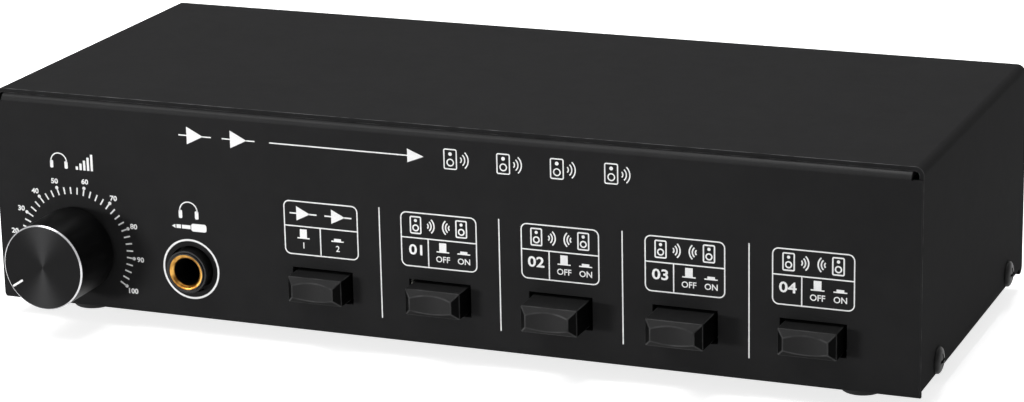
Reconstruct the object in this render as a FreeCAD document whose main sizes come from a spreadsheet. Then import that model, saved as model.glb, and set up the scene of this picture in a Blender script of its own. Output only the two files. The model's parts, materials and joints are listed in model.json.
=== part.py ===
import FreeCAD, Part
import math
import os
import Sketcher
from FreeCAD import Placement, Rotation, Vector
from types import SimpleNamespace

# Speaker selector switch: a bent sheet case with a volume knob, a headphone jack and five push
# buttons in front, and spring terminals behind.
# Frame: +X to the right seen from the front, +Y to the back, +Z up, z = 0 at the surface it stands on.
# Origin: centre of the bounding box, at the bottom. Millimetres and degrees.

DRIVING_SIZES = [
    # The case
    ("case_width", 226.0),
    ("case_depth", 96.0),
    ("case_height", 52.0),
    ("panel_sheet", 1.2),
    ("panel_bend_radius", 1.8),
    ("cover_sheet", 1.0),
    ("cover_bend_radius", 2.0),
    ("cover_lift", 1.3),
    ("cover_end_gap", 0.3),
    ("cover_side_gap", 0.2),
    ("top_flange_depth", 9.0),
    ("top_flange_relief", 2.4),
    ("side_flange_height", 10.0),
    ("cover_screw_inset", 15.5),
    ("cover_screw_height", 4.2),
    # The feet
    ("foot_height", 4.0),
    ("foot_radius", 5.0),
    ("foot_side_inset", 16.5),
    ("foot_end_inset", 14.0),
    # The cover screws
    ("screw_radius", 1.5),
    ("screw_hole_gap", 0.1),
    ("screw_head_radius", 3.1),
    ("screw_head_height", 1.4),
    ("screw_length", 6.0),
    ("screw_drive_span", 1.5),
    ("screw_drive_half_width", 0.35),
    ("screw_drive_depth", 0.8),
    # The volume control
    ("volume_inset", 20.6),
    ("volume_z", 14.6),
    ("volume_sweep", 245.0),
    ("knob_radius", 10.3),
    ("knob_reach", 16.5),
    ("knob_panel_gap", 0.9),
    ("knob_chamfer", 0.5),
    ("knob_recess_radius", 7.0),
    ("knob_recess_depth", 4.0),
    ("pointer_length", 3.4),
    ("pointer_half_width", 0.25),
    ("pointer_depth", 0.15),
    ("shaft_radius", 3.0),
    ("shaft_reach", 12.5),
    ("shaft_flat", 0.5),
    ("shaft_end_gap", 0.2),
    ("running_gap", 0.05),
    ("bushing_radius", 3.5),
    ("bushing_reach", 3.5),
    ("bushing_hole_gap", 0.1),
    ("volume_nut_corner_radius", 5.8),
    ("volume_nut_height", 2.0),
    ("volume_washer_radius", 5.8),
    ("volume_washer_height", 0.5),
    ("volume_body_radius", 8.2),
    ("volume_body_depth", 9.0),
    ("volume_tag_width", 1.2),
    ("volume_tag_height", 0.5),
    ("volume_tag_pitch", 5.0),
    ("volume_tag_lap", 3.0),
    ("grub_radius", 1.5),
    ("grub_length", 5.0),
    # The headphone jack
    ("jack_inset", 50.8),
    ("jack_z", 12.35),
    ("jack_hole_radius", 5.7),
    ("jack_barrel_radius", 5.15),
    ("jack_reach", 2.6),
    ("jack_sleeve_radius", 4.6),
    ("jack_sleeve_length", 12.0),
    ("jack_sleeve_proud", 0.3),
    ("jack_bore_radius", 3.25),
    ("jack_body_width", 14.0),
    ("jack_body_depth", 25.0),
    ("jack_body_setback", 1.5),
    # The push buttons
    ("first_button_inset", 84.8),
    ("last_button_inset", 23.8),
    ("button_z", 11.75),
    ("button_width", 13.4),
    ("button_height", 6.2),
    ("button_length", 12.4),
    ("button_out_reach", 9.2),
    ("button_travel", 3.0),
    ("button_overtravel", 0.6),
    ("button_bevel", 1.6),
    ("button_land", 0.3),
    ("button_scoop_depth", 0.7),
    ("window_side_gap", 0.9),
    ("window_height_gap", 0.8),
    ("plunger_width", 4.0),
    ("plunger_grip", 5.0),
    ("plunger_hold", 10.0),
    ("switch_width", 12.0),
    ("switch_height", 9.9),
    ("switch_depth", 24.0),
    ("switch_clearance", 0.8),
    # The boards
    ("board_thickness", 1.6),
    ("board_side_gap", 10.0),
    ("board_front_gap", 1.3),
    ("standoff_corner_radius", 3.2),
    ("standoff_inset_x", 4.5),
    ("standoff_inset_y", 8.5),
    ("tongue_width", 2.6),
    ("tongue_thickness", 1.8),
    ("tongue_slot_gap", 0.1),
    ("barb_overhang", 0.5),
    ("barb_height", 2.6),
    ("barb_tip_width", 1.2),
    ("resistor_length", 22.0),
    ("resistor_width", 8.0),
    ("resistor_pitch", 14.0),
    ("resistor_lead_width", 0.8),
    ("resistor_lead_length", 3.0),
    # The rear terminals
    ("terminal_end_gap", 14.0),
    ("terminal_gap", 9.0),
    ("terminal_rim", 3.0),
    ("terminal_flange_thickness", 2.0),
    ("terminal_flange_bevel", 0.5),
    ("terminal_body_depth", 13.0),
    ("terminal_cutout_gap", 0.2),
    ("hook_width", 12.0),
    ("hook_height", 1.2),
    ("hook_length", 4.0),
    ("hook_gap", 0.1),
    ("row_pitch", 20.0),
    ("bay_wall", 3.2),
    ("bay_floor", 7.6),
    ("bay_depth", 11.0),
    ("pivot_inset", 3.5),
    ("pivot_height", 4.6),
    ("lever_side_gap", 0.4),
    ("lever_hub_radius", 2.1),
    ("lever_reach", 9.0),
    ("lever_thickness", 2.2),
    ("lever_limb_length", 5.5),
    ("lever_limb_thickness", 1.8),
    ("lever_corner", 1.3),
    ("contact_width", 6.0),
    ("contact_thickness", 0.5),
    ("contact_height", 4.0),
    ("contact_length", 7.0),
]

BUTTON_COUNT = 5
PRESSED_BUTTONS = (1, 2, 5)
TERMINAL_BLOCKS = 3
TERMINAL_ROWS = 2
BAYS_PER_ROW = 4

doc = FreeCAD.newDocument("SpeakerSelector")


class Size:
    """A dimension known both as a number and as an expression on the sheet."""

    def __init__(self, text, value):
        self.text = text
        self.value = float(value)

    def __add__(self, other):
        other = as_size(other)
        return Size(f"({self.text} + {other.text})", self.value + other.value)

    def __radd__(self, other):
        return as_size(other) + self

    def __sub__(self, other):
        other = as_size(other)
        return Size(f"({self.text} - {other.text})", self.value - other.value)

    def __rsub__(self, other):
        return as_size(other) - self

    def __mul__(self, other):
        other = as_size(other)
        return Size(f"({self.text} * {other.text})", self.value * other.value)

    def __rmul__(self, other):
        return as_size(other) * self

    def __truediv__(self, other):
        other = as_size(other)
        return Size(f"({self.text} / {other.text})", self.value / other.value)

    def __neg__(self):
        return Size(f"(0 - {self.text})", -self.value)


def as_size(amount):
    if isinstance(amount, Size):
        return amount
    return Size(repr(float(amount)), amount)


def spread(pitch, count):
    """Places of a row of equal steps, centred on zero."""
    return [pitch * (step - (count - 1) / 2) for step in range(count)]


def make_sheet():
    """The driving sizes, one row each: alias in column A, number in column B."""
    sheet = doc.addObject("Spreadsheet::Sheet", "Sizes")
    named = {}
    for row, (alias, number) in enumerate(DRIVING_SIZES, start=1):
        sheet.set(f"A{row}", alias)
        sheet.set(f"B{row}", str(number))
        sheet.setAlias(f"B{row}", alias)
        named[alias] = Size(f"Sizes.{alias}", number)
    doc.recompute()
    return SimpleNamespace(**named)


d = make_sheet()
ZERO = as_size(0.0)

# Sketch tools ------------------------------------------------------------------------------------

# Sign of each origin plane's normal along its own axis.
NORMAL_SIGN = {"XY_Plane": 1, "XZ_Plane": -1, "YZ_Plane": 1}
ORIGIN_POINT = (-1, 1)
CENTRE_INDEX = 3


def bind(item, path, amount):
    item.setExpression(path, as_size(amount).text)


def new_body(label, x=ZERO, y=ZERO, z=ZERO):
    body = doc.addObject("PartDesign::Body", label)
    body.Label = label
    for axis, amount in (("x", x), ("y", y), ("z", z)):
        bind(body, f"Placement.Base.{axis}", amount)
    return body


def origin_plane(body, role):
    return next(item for item in body.Origin.OriginFeatures if item.Role == role)


def new_sketch(body, name, role, level):
    """A sketch parallel to an origin plane, at the given level along that plane's axis."""
    sketch = body.newObject("Sketcher::SketchObject", name)
    sketch.AttachmentSupport = [(origin_plane(body, role), "")]
    sketch.MapMode = "FlatFace"
    bind(sketch, "AttachmentOffset.Base.z", as_size(level) * NORMAL_SIGN[role])
    return sketch


def locate(sketch, geometry, point, across, up):
    """Holds one point of the sketch at its distances from the sketch's origin."""
    for kind, amount in (("DistanceX", across), ("DistanceY", up)):
        amount = as_size(amount)
        rule = Sketcher.Constraint(kind, *ORIGIN_POINT, geometry, point, amount.value)
        index = sketch.addConstraint(rule)
        sketch.setExpression(f"Constraints[{index}]", amount.text)


def circle(sketch, across, up, radius):
    across, up, radius = as_size(across), as_size(up), as_size(radius)
    centre = Vector(across.value, up.value, 0)
    index = sketch.addGeometry(Part.Circle(centre, Vector(0, 0, 1), radius.value))
    locate(sketch, index, CENTRE_INDEX, across, up)
    rule = sketch.addConstraint(Sketcher.Constraint("Radius", index, radius.value))
    sketch.setExpression(f"Constraints[{rule}]", radius.text)


def toward(start, end):
    """Unit steps of the axis-aligned run from one corner to the next."""
    run = end[0].value - start[0].value
    rise = end[1].value - start[1].value
    if abs(run) > abs(rise):
        return math.copysign(1.0, run), 0.0
    return 0.0, math.copysign(1.0, rise)


def outline(sketch, corners):
    """A closed outline. A corner with a third value is rounded to that radius."""
    corners = [tuple(as_size(amount) for amount in corner) for corner in corners]
    count = len(corners)
    stations = []
    for index, corner in enumerate(corners):
        if len(corner) == 2:
            stations.append((corner, corner, None))
            continue
        across, up, radius = corner
        coming = toward(corners[index - 1], corner)
        going = toward(corner, corners[(index + 1) % count])
        start = (across - radius * coming[0], up - radius * coming[1])
        end = (across + radius * going[0], up + radius * going[1])
        middle = (start[0] + radius * going[0], start[1] + radius * going[1])
        left_turn = coming[0] * going[1] - coming[1] * going[0] > 0
        stations.append((start, end, (middle, radius, left_turn)))
    joints = []
    for index, (start, end, bend) in enumerate(stations):
        if bend:
            joints.append(add_arc(sketch, start, end, *bend))
        following = stations[(index + 1) % count][0]
        joints.append(add_line(sketch, end, following))
    for index, (geometry, _, last) in enumerate(joints):
        following = joints[(index + 1) % len(joints)]
        rule = Sketcher.Constraint("Coincident", geometry, last, following[0], following[1])
        sketch.addConstraint(rule)


def add_line(sketch, start, end):
    from_point = Vector(start[0].value, start[1].value, 0)
    to_point = Vector(end[0].value, end[1].value, 0)
    index = sketch.addGeometry(Part.LineSegment(from_point, to_point))
    locate(sketch, index, 1, *start)
    return index, 1, 2


def add_arc(sketch, start, end, middle, radius, left_turn):
    centre = Vector(middle[0].value, middle[1].value, 0)
    ring = Part.Circle(centre, Vector(0, 0, 1), radius.value)
    first, last = (start, end) if left_turn else (end, start)
    angles = []
    for point in (first, last):
        angles.append(math.atan2(point[1].value - centre.y, point[0].value - centre.x))
    if angles[1] < angles[0]:
        angles[1] += 2 * math.pi
    index = sketch.addGeometry(Part.ArcOfCircle(ring, *angles))
    entry, leaving = (1, 2) if left_turn else (2, 1)
    locate(sketch, index, entry, *start)
    rule = sketch.addConstraint(Sketcher.Constraint("Radius", index, radius.value))
    sketch.setExpression(f"Constraints[{rule}]", radius.text)
    return index, entry, leaving


def rectangle(sketch, left, bottom, right, top):
    outline(sketch, [(left, bottom), (right, bottom), (right, top), (left, top)])


def centred_rectangle(sketch, across, up, width, height):
    half_width = width / 2
    half_height = height / 2
    rectangle(sketch, across - half_width, up - half_height, across + half_width, up + half_height)


def hexagon(sketch, across, up, corner_radius):
    corners = []
    for step in range(6):
        angle = math.radians(60 * step)
        corners.append(
            (across + corner_radius * math.cos(angle), up + corner_radius * math.sin(angle))
        )
    outline(sketch, corners)


# Solid tools -------------------------------------------------------------------------------------


def extrude(kind, body, name, role, start, end, draw):
    start, end = as_size(start), as_size(end)
    sketch = new_sketch(body, f"{name}_sketch", role, start)
    draw(sketch)
    feature = body.newObject(kind, name)
    feature.Profile = sketch
    forward = end.value > start.value
    bind(feature, "Length", end - start if forward else start - end)
    along_normal = forward == (NORMAL_SIGN[role] > 0)
    feature.Reversed = along_normal if kind == "PartDesign::Pocket" else not along_normal
    return feature


def pad(body, name, role, start, end, draw):
    """Adds the drawn outline between two levels along the plane's axis."""
    return extrude("PartDesign::Pad", body, name, role, start, end, draw)


def pocket(body, name, role, start, end, draw):
    """Cuts the drawn outline away between two levels along the plane's axis."""
    return extrude("PartDesign::Pocket", body, name, role, start, end, draw)


def spin(kind, body, name, draw):
    """Turns an outline drawn in XY (radius across, level up) about the Y axis."""
    sketch = new_sketch(body, f"{name}_sketch", "XY_Plane", ZERO)
    draw(sketch)
    feature = body.newObject(kind, name)
    feature.Profile = sketch
    feature.ReferenceAxis = (sketch, ["V_Axis"])
    feature.Angle = 360.0
    return feature


def turn(body, name, draw):
    return spin("PartDesign::Revolution", body, name, draw)


def groove(body, name, draw):
    return spin("PartDesign::Groove", body, name, draw)


def edges_where(feature, test):
    """Names of the edges of a finished feature whose middle point passes the test."""
    doc.recompute()
    names = []
    for number, edge in enumerate(feature.Shape.Edges, start=1):
        middle = edge.valueAt((edge.FirstParameter + edge.LastParameter) / 2)
        if test(edge, middle):
            names.append(f"Edge{number}")
    return names


def near(one, other):
    return abs(one - as_size(other).value) < 1e-4


def chamfer(body, name, feature, amount, test):
    bevel = body.newObject("PartDesign::Chamfer", name)
    bevel.Base = (feature, edges_where(feature, test))
    bind(bevel, "Size", amount)
    return bevel


# Places shared by several pieces ------------------------------------------------------------------

front_y = (d.knob_reach - d.case_depth - d.lever_reach) / 2
case_z = d.foot_height
inner_y = d.panel_sheet
flange_top = d.case_height - d.cover_sheet
half_case = d.case_width / 2
tray_half = half_case - d.cover_sheet - d.cover_side_gap
screw_hole_radius = d.screw_radius + d.screw_hole_gap
foot_x = half_case - d.foot_side_inset
foot_places = [
    (side * foot_x, end)
    for side in (-1, 1)
    for end in (d.foot_end_inset, d.case_depth - d.foot_end_inset)
]
cover_screw_places = [d.cover_screw_inset, d.case_depth - d.cover_screw_inset]

volume_x = d.volume_inset - half_case
jack_x = d.jack_inset - half_case
grub_level = (d.knob_recess_depth + d.shaft_reach) / -2
button_x = d.first_button_inset - half_case
button_pitch = (half_case - d.last_button_inset - button_x) / (BUTTON_COUNT - 1)
button_places = [button_x + button_pitch * step for step in range(BUTTON_COUNT)]
plunger_root = d.button_length - d.button_out_reach
switch_front = plunger_root + d.button_travel + d.button_overtravel + d.switch_clearance
plunger_length = d.plunger_grip + switch_front - plunger_root + d.plunger_hold

board_top = d.button_z - d.switch_height / 2
board_bottom = board_top - d.board_thickness
board_front = inner_y + d.volume_body_depth + d.board_front_gap
board_back = d.case_depth - d.terminal_body_depth
board_half = half_case - d.board_side_gap
standoff_columns = [
    d.standoff_inset_x - board_half,
    button_x + button_pitch / 2,
    board_half - d.standoff_inset_x,
]
standoff_rows = [board_front + d.standoff_inset_y, board_back - d.standoff_inset_y]

terminal_z = flange_top / 2
blocks_width = d.case_width - d.terminal_end_gap * 2 - d.terminal_gap * (TERMINAL_BLOCKS - 1)
terminal_flange_width = blocks_width / TERMINAL_BLOCKS
terminal_body_width = terminal_flange_width - d.terminal_rim * 2
terminal_body_height = d.row_pitch * TERMINAL_ROWS
bay_width = (terminal_body_width - d.bay_wall * (BAYS_PER_ROW + 1)) / BAYS_PER_ROW
bay_ceiling = d.pivot_height + d.lever_hub_radius + d.running_gap

terminal_places = spread(terminal_flange_width + d.terminal_gap, TERMINAL_BLOCKS)
row_places = spread(-d.row_pitch, TERMINAL_ROWS)
bay_places = spread(bay_width + d.bay_wall, BAYS_PER_ROW)
parts = []


def place_in_case(label, x=ZERO, y=ZERO, z=ZERO):
    """A sub-part placed from the case's corner point: centre of width, front face, underside."""
    body = new_body(label, x, front_y + y, case_z + z)
    parts.append(body)
    return body


# The case ----------------------------------------------------------------------------------------


def end_panel(body, name, face, inward):
    """A full-width panel with its bottom bend and top flange; inward is +1 or -1 along Y."""
    bend = d.panel_bend_radius
    inner_bend = bend - d.panel_sheet
    back = face + d.panel_sheet * inward
    flange_end = face + d.top_flange_depth * inward
    lip_end = face + (bend + inner_bend) * inward
    corners = [
        (lip_end, ZERO),
        (face, ZERO, bend),
        (face, flange_top, bend),
        (flange_end, flange_top),
        (flange_end, flange_top - d.panel_sheet),
        (back, flange_top - d.panel_sheet, inner_bend),
        (back, d.panel_sheet, inner_bend),
        (lip_end, d.panel_sheet),
    ]
    pad(body, name, "YZ_Plane", -half_case, half_case, lambda sketch: outline(sketch, corners))


def make_chassis():
    body = place_in_case("chassis")
    end_panel(body, "front_panel", ZERO, 1)
    bend = d.panel_bend_radius
    inner_bend = bend - d.panel_sheet

    def tray(sketch):
        inside = tray_half - d.panel_sheet
        right_side = [
            (inside, d.side_flange_height),
            (inside, d.panel_sheet, inner_bend),
        ]
        left_side = [(-inside, d.panel_sheet, inner_bend), (-inside, d.side_flange_height)]
        outside = [
            (-tray_half, d.side_flange_height),
            (-tray_half, ZERO, bend),
            (tray_half, ZERO, bend),
            (tray_half, d.side_flange_height),
        ]
        outline(sketch, outside + right_side + left_side)

    tray_start = bend
    tray_end = d.case_depth - bend
    pad(body, "tray", "XZ_Plane", tray_start, tray_end, tray)
    end_panel(body, "rear_panel", d.case_depth, -1)

    def flange_reliefs(sketch):
        inner = half_case - d.top_flange_relief
        for left, right in ((-half_case, -inner), (inner, half_case)):
            rectangle(sketch, left, ZERO, right, d.case_depth)

    relief_floor = flange_top - bend
    pocket(body, "flange_reliefs", "XY_Plane", flange_top, relief_floor, flange_reliefs)

    def front_openings(sketch):
        width = d.button_width + d.window_side_gap * 2
        height = d.button_height + d.window_height_gap * 2
        for across in button_places:
            centred_rectangle(sketch, across, d.button_z, width, height)
        circle(sketch, jack_x, d.jack_z, d.jack_hole_radius)
        circle(sketch, volume_x, d.volume_z, d.bushing_radius + d.bushing_hole_gap)

    pocket(body, "front_openings", "XZ_Plane", ZERO, inner_y, front_openings)

    def rear_openings(sketch):
        width = terminal_body_width + d.terminal_cutout_gap * 2
        height = terminal_body_height + d.terminal_cutout_gap * 2
        for across in terminal_places:
            centred_rectangle(sketch, across, terminal_z, width, height)

    rear_inside = d.case_depth - d.panel_sheet
    pocket(body, "rear_openings", "XZ_Plane", d.case_depth, rear_inside, rear_openings)

    def side_holes(sketch):
        for back in cover_screw_places:
            circle(sketch, back, d.cover_screw_height, screw_hole_radius)

    pocket(body, "side_holes", "YZ_Plane", -tray_half, tray_half, side_holes)


def make_cover():
    body = place_in_case("top_cover")
    half = half_case
    inside = half - d.cover_sheet
    bend = d.cover_bend_radius
    inner_bend = bend - d.cover_sheet
    start = inner_y + d.cover_end_gap
    end = d.case_depth - start

    def shell(sketch):
        corners = [
            (half, d.cover_lift),
            (half, d.case_height, bend),
            (-half, d.case_height, bend),
            (-half, d.cover_lift),
            (-inside, d.cover_lift),
            (-inside, flange_top, inner_bend),
            (inside, flange_top, inner_bend),
            (inside, d.cover_lift),
        ]
        outline(sketch, corners)

    pad(body, "shell", "XZ_Plane", start, end, shell)

    def screw_holes(sketch):
        for back in cover_screw_places:
            circle(sketch, back, d.cover_screw_height, screw_hole_radius)

    pocket(body, "screw_holes", "YZ_Plane", -half, half, screw_holes)


def plus_shape(sketch, across, up):
    """A cross recess, drawn as one outline with twelve corners."""
    span = d.screw_drive_span
    half = d.screw_drive_half_width
    arm = [(span, -half), (span, half), (half, half)]
    corners = []
    for first, second in arm:
        corners.append((first, second))
    for first, second in arm:
        corners.append((-second, first))
    for first, second in arm:
        corners.append((-first, -second))
    for first, second in arm:
        corners.append((second, -first))
    outline(sketch, [(across + first, up + second) for first, second in corners])


def make_cover_screws():
    """Pan heads on both sides of the cover, with their shanks in the tray's side flanges."""
    body = place_in_case("cover_screws")
    body.AllowCompound = True

    def heads(sketch):
        for back in cover_screw_places:
            circle(sketch, back, d.cover_screw_height, d.screw_head_radius)

    def shanks(sketch):
        for back in cover_screw_places:
            circle(sketch, back, d.cover_screw_height, d.screw_radius)

    def drives(sketch):
        for back in cover_screw_places:
            plus_shape(sketch, back, d.cover_screw_height)

    for side in (1, -1):
        seat = half_case * side
        top = seat + d.screw_head_height * side
        pad(body, "heads", "YZ_Plane", seat, top, heads)
        pad(body, "shanks", "YZ_Plane", seat, seat - d.screw_length * side, shanks)
        pocket(body, "drives", "YZ_Plane", top, top - d.screw_drive_depth * side, drives)


def make_feet():
    def section(sketch):
        circle(sketch, ZERO, ZERO, d.foot_radius)

    for number, (across, back) in enumerate(foot_places, start=1):
        body = place_in_case(f"foot_{number}", across, back)
        pad(body, "disc", "XY_Plane", -d.foot_height, ZERO, section)


# The volume control --------------------------------------------------------------------------------


def make_knob():
    body = place_in_case("knob", volume_x, ZERO, d.volume_z)
    back = -d.knob_panel_gap
    front = -d.knob_reach
    bore = d.shaft_radius + d.running_gap
    bore_end = -(d.shaft_reach + d.shaft_end_gap)

    def profile(sketch):
        corners = [
            (bore, -d.knob_recess_depth),
            (d.knob_recess_radius, -d.knob_recess_depth),
            (d.knob_recess_radius, back),
            (d.knob_radius, back),
            (d.knob_radius, front + d.knob_chamfer),
            (d.knob_radius - d.knob_chamfer, front),
            (ZERO, front),
            (ZERO, bore_end),
            (bore, bore_end),
        ]
        outline(sketch, corners)

    turn(body, "turned_knob", profile)

    def pointer(sketch):
        tip = d.knob_radius - d.knob_chamfer * 2
        half = d.pointer_half_width
        rectangle(sketch, -half, tip - d.pointer_length, half, tip)

    pocket(body, "pointer", "XZ_Plane", front, front + d.pointer_depth, pointer)

    def grub_hole(sketch):
        circle(sketch, ZERO, grub_level, d.grub_radius + d.running_gap)

    pocket(body, "grub_hole", "XY_Plane", d.knob_radius, ZERO, grub_hole)
    aim_pointer(body)


def aim_pointer(body):
    """Turns a piece of the volume control from its upright position to the zero mark."""
    body.Placement = Placement(Vector(), Rotation(Vector(0, 1, 0), -d.volume_sweep.value / 2))
    bind(body, "Placement.Rotation.Angle", d.volume_sweep / 2 * -1)


def make_grub_screw():
    body = place_in_case("knob_grub_screw", volume_x, ZERO, d.volume_z)
    seat = d.shaft_radius - d.shaft_flat
    outer = seat + d.grub_length

    def rod(sketch):
        circle(sketch, ZERO, grub_level, d.grub_radius)

    pad(body, "rod", "XY_Plane", seat, outer, rod)

    def hex_socket(sketch):
        hexagon(sketch, ZERO, grub_level, d.grub_radius / 2)

    pocket(body, "hex_socket", "XY_Plane", outer, outer - d.grub_radius, hex_socket)
    aim_pointer(body)


def make_shaft():
    body = place_in_case("volume_shaft", volume_x, ZERO, d.volume_z)
    tip = -d.shaft_reach
    end = inner_y + d.volume_body_depth / 2

    def section(sketch):
        circle(sketch, ZERO, ZERO, d.shaft_radius)

    pad(body, "shaft", "XZ_Plane", tip, end, section)

    def flat(sketch):
        radius = d.shaft_radius
        rectangle(sketch, -radius, radius - d.shaft_flat, radius, radius)

    flat_end = -d.bushing_reach - d.running_gap
    pocket(body, "flat", "XZ_Plane", tip, flat_end, flat)
    aim_pointer(body)


def make_volume_body():
    body = place_in_case("volume_body", volume_x, ZERO, d.volume_z)
    back = inner_y + d.volume_body_depth
    bore = d.shaft_radius + d.running_gap
    bore_end = inner_y + d.volume_body_depth / 2 + d.shaft_end_gap

    def profile(sketch):
        corners = [
            (bore, -d.bushing_reach),
            (d.bushing_radius, -d.bushing_reach),
            (d.bushing_radius, inner_y),
            (d.volume_body_radius, inner_y),
            (d.volume_body_radius, back),
            (ZERO, back),
            (ZERO, bore_end),
            (bore, bore_end),
        ]
        outline(sketch, corners)

    turn(body, "can_and_bushing", profile)
    tag_bottom = board_top - d.volume_z

    def tags(sketch):
        for step in (-1, 0, 1):
            centre = d.volume_tag_pitch * step
            half = d.volume_tag_width / 2
            rectangle(
                sketch, centre - half, tag_bottom, centre + half, tag_bottom + d.volume_tag_height
            )

    tag_root = back - d.volume_tag_lap
    tag_end = board_front + d.volume_tag_lap
    pad(body, "tags", "XZ_Plane", tag_root, tag_end, tags)
    tag_block_half = d.volume_tag_pitch + d.volume_tag_width

    def tag_block(sketch):
        rectangle(sketch, -tag_block_half, tag_bottom, tag_block_half, ZERO)

    pad(body, "tag_block", "XZ_Plane", tag_root, back, tag_block)


def make_volume_nut():
    body = place_in_case("volume_nut_and_washer", volume_x, ZERO, d.volume_z)
    body.AllowCompound = True
    washer_front = -d.volume_washer_height
    nut_front = washer_front - d.volume_nut_height
    bore = d.bushing_radius + d.running_gap

    def washer(sketch):
        circle(sketch, ZERO, ZERO, d.volume_washer_radius)
        circle(sketch, ZERO, ZERO, bore)

    pad(body, "washer", "XZ_Plane", ZERO, washer_front, washer)

    def nut(sketch):
        hexagon(sketch, ZERO, ZERO, d.volume_nut_corner_radius)
        circle(sketch, ZERO, ZERO, bore)

    pad(body, "nut", "XZ_Plane", washer_front, nut_front, nut)


# The headphone jack --------------------------------------------------------------------------------


def make_jack():
    body = place_in_case("jack_body", jack_x, ZERO, d.jack_z)
    body_front = inner_y + d.jack_body_setback
    body_back = body_front + d.jack_body_depth
    bottom = board_top - d.jack_z

    def housing(sketch):
        centred_rectangle(sketch, ZERO, ZERO, d.jack_body_width, bottom * -2)

    pad(body, "housing", "XZ_Plane", body_front, body_back, housing)

    def barrel(sketch):
        circle(sketch, ZERO, ZERO, d.jack_barrel_radius)

    front = -d.jack_reach
    pad(body, "barrel", "XZ_Plane", body_front, front, barrel)
    seat = d.jack_sleeve_radius + d.running_gap
    seat_end = front - d.jack_sleeve_proud + d.jack_sleeve_length
    bore_end = body_back - d.panel_sheet

    def bore(sketch):
        corners = [
            (ZERO, front),
            (seat, front),
            (seat, seat_end),
            (d.jack_bore_radius, seat_end),
            (d.jack_bore_radius, bore_end),
            (ZERO, bore_end),
        ]
        outline(sketch, corners)

    groove(body, "bore", bore)


def make_jack_sleeve():
    body = place_in_case("jack_sleeve", jack_x, ZERO, d.jack_z)
    front = -d.jack_reach - d.jack_sleeve_proud
    back = front + d.jack_sleeve_length
    inner = d.jack_bore_radius
    outer = d.jack_sleeve_radius
    lead_in = (outer - inner) / 3

    def profile(sketch):
        corners = [
            (inner, front + lead_in),
            (inner + lead_in, front),
            (outer, front),
            (outer, back),
            (inner, back),
        ]
        outline(sketch, corners)

    turn(body, "sleeve", profile)


# The push buttons ----------------------------------------------------------------------------------


def button_rest(number):
    """How far a button's face stands in front of the panel in the stored position."""
    if number in PRESSED_BUTTONS:
        return d.button_out_reach - d.button_travel
    return d.button_out_reach


def make_button(number, across):
    reach = button_rest(number)
    body = place_in_case(f"button_{number}", across, ZERO - reach, d.button_z)

    def section(sketch):
        centred_rectangle(sketch, ZERO, ZERO, d.button_width, d.button_height)

    block = pad(body, "block", "XZ_Plane", ZERO, d.button_length, section)
    chamfer(body, "bevel", block, d.button_bevel, lambda edge, middle: near(middle.y, ZERO))
    half_scoop = d.button_width / 2 - d.button_bevel - d.button_land
    depth = d.button_scoop_depth
    scoop_radius = (half_scoop * half_scoop + depth * depth) / (depth * 2)

    def scoop(sketch):
        circle(sketch, ZERO, depth - scoop_radius, scoop_radius)

    half = d.button_height / 2
    pocket(body, "scoop", "XY_Plane", half, -half, scoop)
    socket_width = d.plunger_width + d.running_gap * 2

    def socket(sketch):
        centred_rectangle(sketch, ZERO, ZERO, socket_width, socket_width)

    socket_floor = d.button_length - d.plunger_grip
    pocket(body, "socket", "XZ_Plane", d.button_length, socket_floor, socket)


def make_plunger(number, across):
    tip = d.button_length - d.plunger_grip - button_rest(number)
    body = place_in_case(f"plunger_{number}", across, tip, d.button_z)

    def section(sketch):
        centred_rectangle(sketch, ZERO, ZERO, d.plunger_width, d.plunger_width)

    pad(body, "rod", "XZ_Plane", ZERO, plunger_length, section)


def make_switches():
    body = place_in_case("push_switches")
    body.AllowCompound = True
    bore_width = d.plunger_width + d.running_gap * 2
    bore_depth = d.plunger_hold + d.button_travel + d.button_overtravel + d.switch_clearance

    def housings(sketch):
        for across in button_places:
            centred_rectangle(sketch, across, d.button_z, d.switch_width, d.switch_height)

    def bores(sketch):
        for across in button_places:
            centred_rectangle(sketch, across, d.button_z, bore_width, bore_width)

    pad(body, "housings", "XZ_Plane", switch_front, switch_front + d.switch_depth, housings)
    pocket(body, "bores", "XZ_Plane", switch_front, switch_front + bore_depth, bores)


# The boards ----------------------------------------------------------------------------------------


def make_boards():
    board = place_in_case("main_board")
    slot_width = d.tongue_width + d.tongue_slot_gap * 2
    slot_depth = d.tongue_thickness + d.tongue_slot_gap * 2

    def plan(sketch):
        rectangle(sketch, -board_half, board_front, board_half, board_back)
        for across in standoff_columns:
            for back in standoff_rows:
                centred_rectangle(sketch, across, back, slot_width, slot_depth)

    pad(board, "laminate", "XY_Plane", board_bottom, board_top, plan)
    upright = place_in_case("terminal_board")
    top = terminal_z + terminal_body_height / 2

    def elevation(sketch):
        rectangle(sketch, -board_half, board_top, board_half, top)

    upright_front = board_back - d.board_thickness
    pad(upright, "laminate", "XZ_Plane", upright_front, board_back, elevation)


def make_standoffs():
    """Six-sided pillars, each with a barbed tongue that snaps through a slot in the board."""
    body = place_in_case("standoffs")
    body.AllowCompound = True

    def pillars(sketch):
        for across in standoff_columns:
            for back in standoff_rows:
                hexagon(sketch, across, back, d.standoff_corner_radius)

    pad(body, "pillars", "XY_Plane", d.panel_sheet, board_bottom, pillars)
    neck = d.tongue_width / 2
    barb = neck + d.barb_overhang
    tip = d.barb_tip_width / 2
    barb_base = board_top + d.tongue_slot_gap
    barb_top = barb_base + d.barb_height

    def tongues(sketch):
        for across in standoff_columns:
            right_side = [
                (neck, board_bottom),
                (neck, barb_base),
                (barb, barb_base),
                (tip, barb_top),
            ]
            left_side = [(-out, up) for out, up in reversed(right_side)]
            outline(sketch, [(across + out, up) for out, up in right_side + left_side])

    half = d.tongue_thickness / 2
    for back in standoff_rows:
        pad(body, "tongues", "XZ_Plane", back - half, back + half, tongues)


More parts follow.
